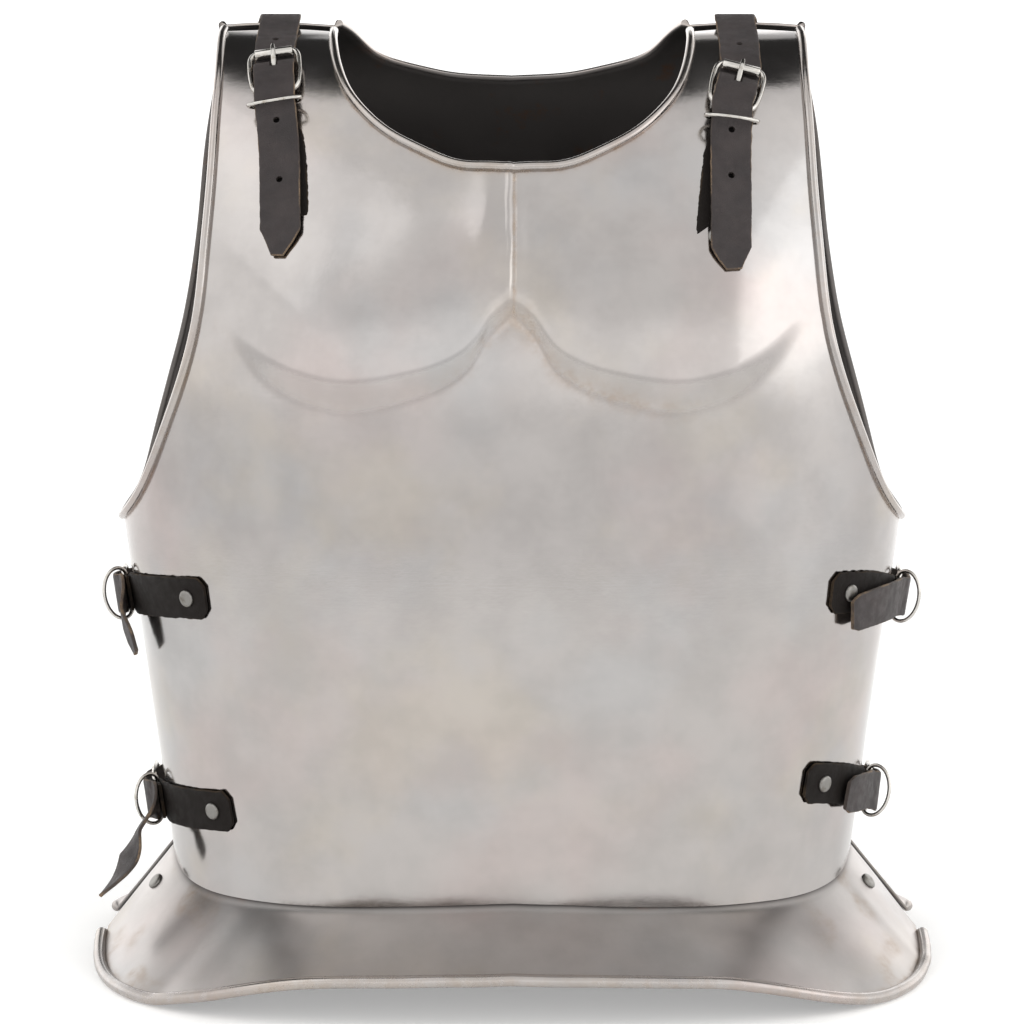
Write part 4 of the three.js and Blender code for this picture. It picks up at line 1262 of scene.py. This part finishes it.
def plate_stains_and_shade(faces, chest):
    """Stain on the outer face: by the rolls, along the pads' lower edge and at its apex; down the breastbone
    fold a dark line that is partly dirt and partly painted shade in the fold.
    """
    groove = 0.55 * bell(faces["from_edge"], 0, 2.2) * (faces["radius"][:, None] > 1)
    if not chest:
        return groove
    x = faces["outer"][..., 0]
    above = above_crease(x, faces["above"])
    along = bell(above, -1, 6) * mix(0.08, 0.42, ease((80 - np.abs(x - 30)) / 60))
    # Dark line down the breastbone fold: partly dirt, partly painted shade in the fold.
    line = 0.8 * bell(x, 1.2, 0.8) * (above > 0)
    apex = 0.5 * bell(x, 8, 17) * bell(above, -1, 9)
    return np.maximum.reduce([groove, along * (np.abs(x) < 150), apex, line])


class CUIRASS_OT_plates(Part, Operator):
    """Breastplate with its chest pads, and backplate"""

    bl_idname = "cuirass.plates"
    bl_label = "Breastplate and backplate"

    def execute(self, context):
        steel = context.scene.cuirass_steel
        spread = ((0, 0.44, 30), (0.45, 0.8, 66), (0.81, 0.985, 22), (0.9875, 1, 8))
        front = np.concatenate([np.linspace(*part) for part in spread])
        back = np.concatenate([np.linspace(0, 0.985, 86), np.linspace(0.9875, 1, 8)])
        for node, skin, armhole, neck, rows, rise, seed in (
            ("breastplate", FRONT, FRONT_ARMHOLE, FRONT_NECK, front, steel.chest / MM, 11),
            ("backplate", BACK, BACK_ARMHOLE, BACK_NECK, back, 0, 12),
        ):
            loops, faces = plate_sheet(skin, armhole, neck, rows, steel, rise, seed)
            columns, count = loops.shape[:2]
            wide = len(rows)
            rolled = wide + ROLL_STEPS
            stain_and_painted_shade, inside = np.zeros((2, columns, count))
            stain_and_painted_shade[:, :wide] = plate_stains_and_shade(faces, node == "breastplate")
            stain_and_painted_shade[:, wide:rolled] = 0.22
            inside[:, rolled:] = 1
            if node == "backplate":
                inside[:, rolled - 4 : rolled] = 0.9
                for arm in (slice(0, ARM_COLUMNS), slice(-ARM_COLUMNS, None)):
                    inside[arm, rolled - 8 : rolled - 4] = 0.9
            values = {"stain_and_painted_shade": stain_and_painted_shade, "inside": inside}
            make_piece(node, "sheet", loops, loop_faces(columns, count, False), "steel", values)
        return {"FINISHED"}


class CUIRASS_OT_skirts(Part, Operator):
    """Flared skirts under both plates"""

    bl_idname = "cuirass.skirts"
    bl_label = "Skirts"

    def execute(self, context):
        angle = skirt_angles()
        for where, skin, hem, facing in SKIRTS:
            loops, outer = skirt_sheet(skin, hem, facing, angle, context.scene.cuirass_steel)
            columns, count = loops.shape[:2]
            wide = outer.shape[1]
            rolled = slice(wide, wide + HEM_STEPS)
            stain_and_painted_shade, inside, dull = np.zeros((3, columns, count))
            from_hem = np.linalg.norm(outer - outer[:, -1:], axis=-1)
            # The patchy brown film round the skirts' corners is a painted dark reflection; the line along the
            # hem is a stain.
            dark_reflection_patch = ease((ripple(outer[..., 0], outer[..., 1], 45, 31) - 0.35) / 0.8)
            corner = bell(np.abs(angle), 62, 13)[:, None]
            stain_and_painted_shade[:, :wide] = np.maximum(0.6 * bell(from_hem, 0, 2.5), 0.5 * dark_reflection_patch * corner)
            stain_and_painted_shade[:, rolled] = np.linspace(0.05, 0.5, HEM_STEPS)
            inside[:, rolled.stop :] = 1
            # The inside colour on the collar and the first rows of the bend is a painted shadow: the dark line
            # just below the plate's lower edge.
            inside[:, :COLLAR_ROWS] = [1] * 9 + [0.9, 0.6, 0.3, 0.1]
            if facing > 0:
                inside[:, rolled] = 0.5 * ease((np.abs(angle) - 76) / 6)[:, None]
            dull[:] = 1
            dull[:, rolled] = 0.5
            values = {"stain_and_painted_shade": stain_and_painted_shade, "inside": inside, "dull": dull}
            faces = loop_faces(columns, count, False)
            make_piece(where + "_skirt", "sheet", loops, faces, "steel", values)
        return {"FINISHED"}


class CUIRASS_OT_skirt_rivets(Part, Operator):
    """Rivets at the end corners of the skirts"""

    bl_idname = "cuirass.skirt_rivets"
    bl_label = "Skirt rivets"

    def execute(self, context):
        steel = context.scene.cuirass_steel
        for where, skin, hem, facing in SKIRTS:
            for side, word in ((-1, "left"), (1, "right")):
                outer = skirt_sheet(skin, hem, facing, side * np.arange(74.0, 79), steel)[1]
                spot = COLLAR_ROWS + round(RIVET_SHARE * FLANGE_ROWS)
                along = unit(outer[2, spot + 1] - outer[2, spot - 1])
                normal = unit(np.cross(along, outer[3, spot] - outer[1, spot]))
                normal = normal * np.sign(normal[2])
                frames = (outer[2, spot], along, np.cross(along, normal), normal)
                add_rivet(f"{where}_skirt_{word}_rivet", frames, 0, 0.05, context.scene.cuirass_fittings)
        return {"FINISHED"}


class CUIRASS_OT_billets(Part, Operator):
    """Straps with holes, from their tails to the back plate"""

    bl_idname = "cuirass.billets"
    bl_label = "Billets"

    def execute(self, context):
        leather = context.scene.cuirass_leather
        for seed, (name, strap) in enumerate(STRAPS.items()):
            knots = billet_knots(strap, leather.billet_width / MM)
            holes = [(at, 1.7) for at in strap.holes]
            shape = band(knots, leather.billet_thick / MM, holes, [(12.1, 21, 1.75)], 100 + 10 * seed)
            loops, faces, values = shape
            make_piece(name + "_billet", "leather", loops, faces, "leather", values)
        return {"FINISHED"}


class CUIRASS_OT_chapes(Part, Operator):
    """Folded straps that hold the buckles"""

    bl_idname = "cuirass.chapes"
    bl_label = "Chapes"

    def execute(self, context):
        leather = context.scene.cuirass_leather
        thick, wire_radius = leather.chape_thick / MM, context.scene.cuirass_fittings.wire / MM
        for seed, (name, strap) in enumerate(STRAPS.items()):
            knots = chape_knots(strap, leather.chape_width / MM, thick, wire_radius)
            loops, faces, values = band(knots, thick, [], [(-4.6, 4.5, 1.8)], 300 + 10 * seed, 0.15)
            values["flesh"] = 1 - values["flesh"]
            make_piece(name + "_chape", "leather", loops, faces, "darker_and_shaded_leather", values)
        return {"FINISHED"}


class CUIRASS_OT_buckles(Part, Operator):
    """Buckle frames, rollers, tongues and keepers"""

    bl_idname = "cuirass.buckles"
    bl_label = "Buckles and keepers"

    def execute(self, context):
        shapes = {
            "buckle": buckle_frame,
            "roller": roller_tube,
            "tongue": tongue_strip,
            "keeper": keeper_ring,
        }
        for name, strap in STRAPS.items():
            for part, shape in shapes.items():
                loops = shape(strap, context.scene.cuirass_fittings)
                faces = ring_faces(*loops.shape[:2], part != "tongue")
                make_piece(f"{name}_{part}", "nickel", loops, faces, "nickel")
        return {"FINISHED"}


class CUIRASS_OT_strap_rivets(Part, Operator):
    """Rivets that fasten the straps to the plates"""

    bl_idname = "cuirass.strap_rivets"
    bl_label = "Strap rivets"

    def execute(self, context):
        leather = context.scene.cuirass_leather
        chape_top = CHAPE_LOW + leather.chape_thick / MM / 2
        billet_top = BILLET_LOW + leather.billet_thick / MM / 2
        for name, strap in STRAPS.items():
            front, back = strap.front_rivet, strap.back_rivet
            for end, at, across, height in (
                ("front", front, strap.lean(front), chape_top),
                ("back", back, 0, billet_top),
            ):
                frames = first_of(strap.line.frames(strap.bar + at))
                add_rivet(f"{name}_{end}_rivet", frames, across, height, context.scene.cuirass_fittings)
        return {"FINISHED"}


class CUIRASS_OT_stage(Part, Operator):
    """Pale floor, studio walls, soft lights and camera"""

    bl_idname = "cuirass.stage"
    bl_label = "Stage"

    def execute(self, context):
        scene, stage = context.scene, context.scene.cuirass_stage
        turn = np.linspace(0, 2 * np.pi, 128, endpoint=False)
        radius = np.array([0.02, 0.3, 1.2, 5, 30])[:, None]
        points = stacked(radius * np.cos(turn), radius * np.sin(turn), np.full((5, 128), -0.0002))
        mesh = bpy.data.meshes.new("floor")
        faces = ring_faces(5, 128, False)[: 4 * 128 + 1]
        mesh.from_pydata(points.reshape(-1, 3).tolist(), [], faces)
        mesh.materials.append(finish("floor"))
        floor = bpy.data.objects.new("floor", mesh)
        scene.collection.objects.link(floor)
        studio_walls(scene, stage.sky)
        for name, place, size, power in LAMPS:
            soft_light(scene, name, Vector(place), size, power)
        eye, aim = [Vector((np.array(place) + SHIFT) * MM) for place in (EYE, AIM)]
        camera = bpy.data.objects.new("camera", bpy.data.cameras.new("camera"))
        camera.data.sensor_width = 36
        camera.data.lens = stage.lens
        camera.location = eye
        camera.rotation_euler = (aim - eye).to_track_quat("-Z", "Y").to_euler()
        scene.collection.objects.link(camera)
        scene.camera = camera
        scene.view_settings.view_transform = "Standard"
        return {"FINISHED"}


def soft_light(scene, name, place, size, power):
    """Rectangular softbox turned toward the middle of the object."""
    lamp = bpy.data.lights.new(name, "AREA")
    lamp.shape = "RECTANGLE"
    lamp.size, lamp.size_y = size
    lamp.energy = power
    light = bpy.data.objects.new(name, lamp)
    light.location = place
    light.rotation_euler = (Vector((0, 0, 0.25)) - place).to_track_quat("-Z", "Y").to_euler()
    scene.collection.objects.link(light)


class Walls(Nodes):
    """The studio's world under construction."""

    def __init__(self, scene):
        scene.world = bpy.data.worlds.new("studio")
        scene.world.use_nodes = True
        self.tree = scene.world.node_tree

    def window(self, value, middle, outer, inner):
        """One within inner of the middle, none beyond outer."""
        return self.between(self.maths("ABSOLUTE", self.maths("SUBTRACT", value, middle)), outer, inner)


def studio_walls(scene, brightness):
    """World of bright walls: a brighter band low down, soft boxes at both sides and behind, and a dark
    soft-edged opening in the ceiling. Band and boxes are smooth steps of the direction's azimuth and height
    angle; for the opening, the direction divided by its height is the place on a ceiling one unit up."""
    w = Walls(scene)
    direction = w.node("ShaderNodeTexCoord").outputs["Generated"]
    dx, dy, dz = w.node("ShaderNodeSeparateXYZ", {0: direction}).outputs
    azimuth = w.maths("ARCTAN2", dx, w.times(dy, -1.0))
    turns = {"one side": azimuth, "both sides": w.maths("ABSOLUTE", azimuth)}
    height = w.maths("ARCSINE", dz)
    glow = w.times(w.window(height, 0.21, 0.34, 0.15), 0.28)
    for sides, across, upright, gain in WALL_BOXES:
        box = w.times(w.window(turns[sides], *across), w.window(height, *upright))
        glow = w.plus(glow, w.times(box, gain))
    ceiling = w.maths("MAXIMUM", dz, 0.001)
    x, y = w.maths("DIVIDE", dx, ceiling), w.maths("DIVIDE", dy, ceiling)
    near = w.times(w.window(x, 0.0, 1.1, 0.8), w.between(y, 0.55, 0.3))
    far = w.times(w.window(x, 0.0, 0.6, 0.35), w.between(y, 2.6, 1.9))
    opening = w.times(w.maths("MAXIMUM", near, far), w.between(y, -0.1, -0.06))
    lit = w.times(w.plus(glow, 1.0), brightness)
    shade = w.node("ShaderNodeMapRange", {"Value": opening, "To Min": lit, "To Max": 0.04}).outputs[0]
    background = w.tree.nodes["Background"]
    w.feed(background.inputs["Strength"], shade)
    w.feed(background.inputs["Color"], (1, 0.995, 0.985, 1))


OPERATORS = (
    CUIRASS_OT_plates,
    CUIRASS_OT_skirts,
    CUIRASS_OT_skirt_rivets,
    CUIRASS_OT_billets,
    CUIRASS_OT_chapes,
    CUIRASS_OT_buckles,
    CUIRASS_OT_strap_rivets,
    CUIRASS_OT_stage,
)


class CUIRASS_PT_parts(Panel):
    """Buttons for every part, in building order"""

    bl_label = "Steel Cuirass"
    bl_idname = "CUIRASS_PT_parts"
    bl_space_type = "VIEW_3D"
    bl_region_type = "UI"
    bl_category = "Cuirass"

    def draw(self, context):
        for operator in OPERATORS:
            self.layout.operator(operator.bl_idname)
        for group in ("cuirass_steel", "cuirass_leather", "cuirass_fittings", "cuirass_stage"):
            settings = getattr(context.scene, group)
            box = self.layout.box()
            for key in settings.__annotations__:
                box.prop(settings, key)


GROUPS = {
    "cuirass_steel": CuirassSteel,
    "cuirass_leather": CuirassLeather,
    "cuirass_fittings": CuirassFittings,
    "cuirass_stage": CuirassStage,
}


def register():
    """Registers the settings, operators and panel."""
    for cls in (*GROUPS.values(), *OPERATORS, CUIRASS_PT_parts):
        bpy.utils.register_class(cls)
    for key, group in GROUPS.items():
        setattr(bpy.types.Scene, key, PointerProperty(type=group))


def unregister():
    """Takes everything that register made away again."""
    for key in GROUPS:
        delattr(bpy.types.Scene, key)
    for cls in (CUIRASS_PT_parts, *reversed(OPERATORS), *reversed(list(GROUPS.values()))):
        bpy.utils.unregister_class(cls)


def main():
    """Builds every part in order."""
    register()
    for operator in OPERATORS:
        family, name = operator.bl_idname.split(".")
        getattr(getattr(bpy.ops, family), name)()


if __name__ == "__main__":
    main()
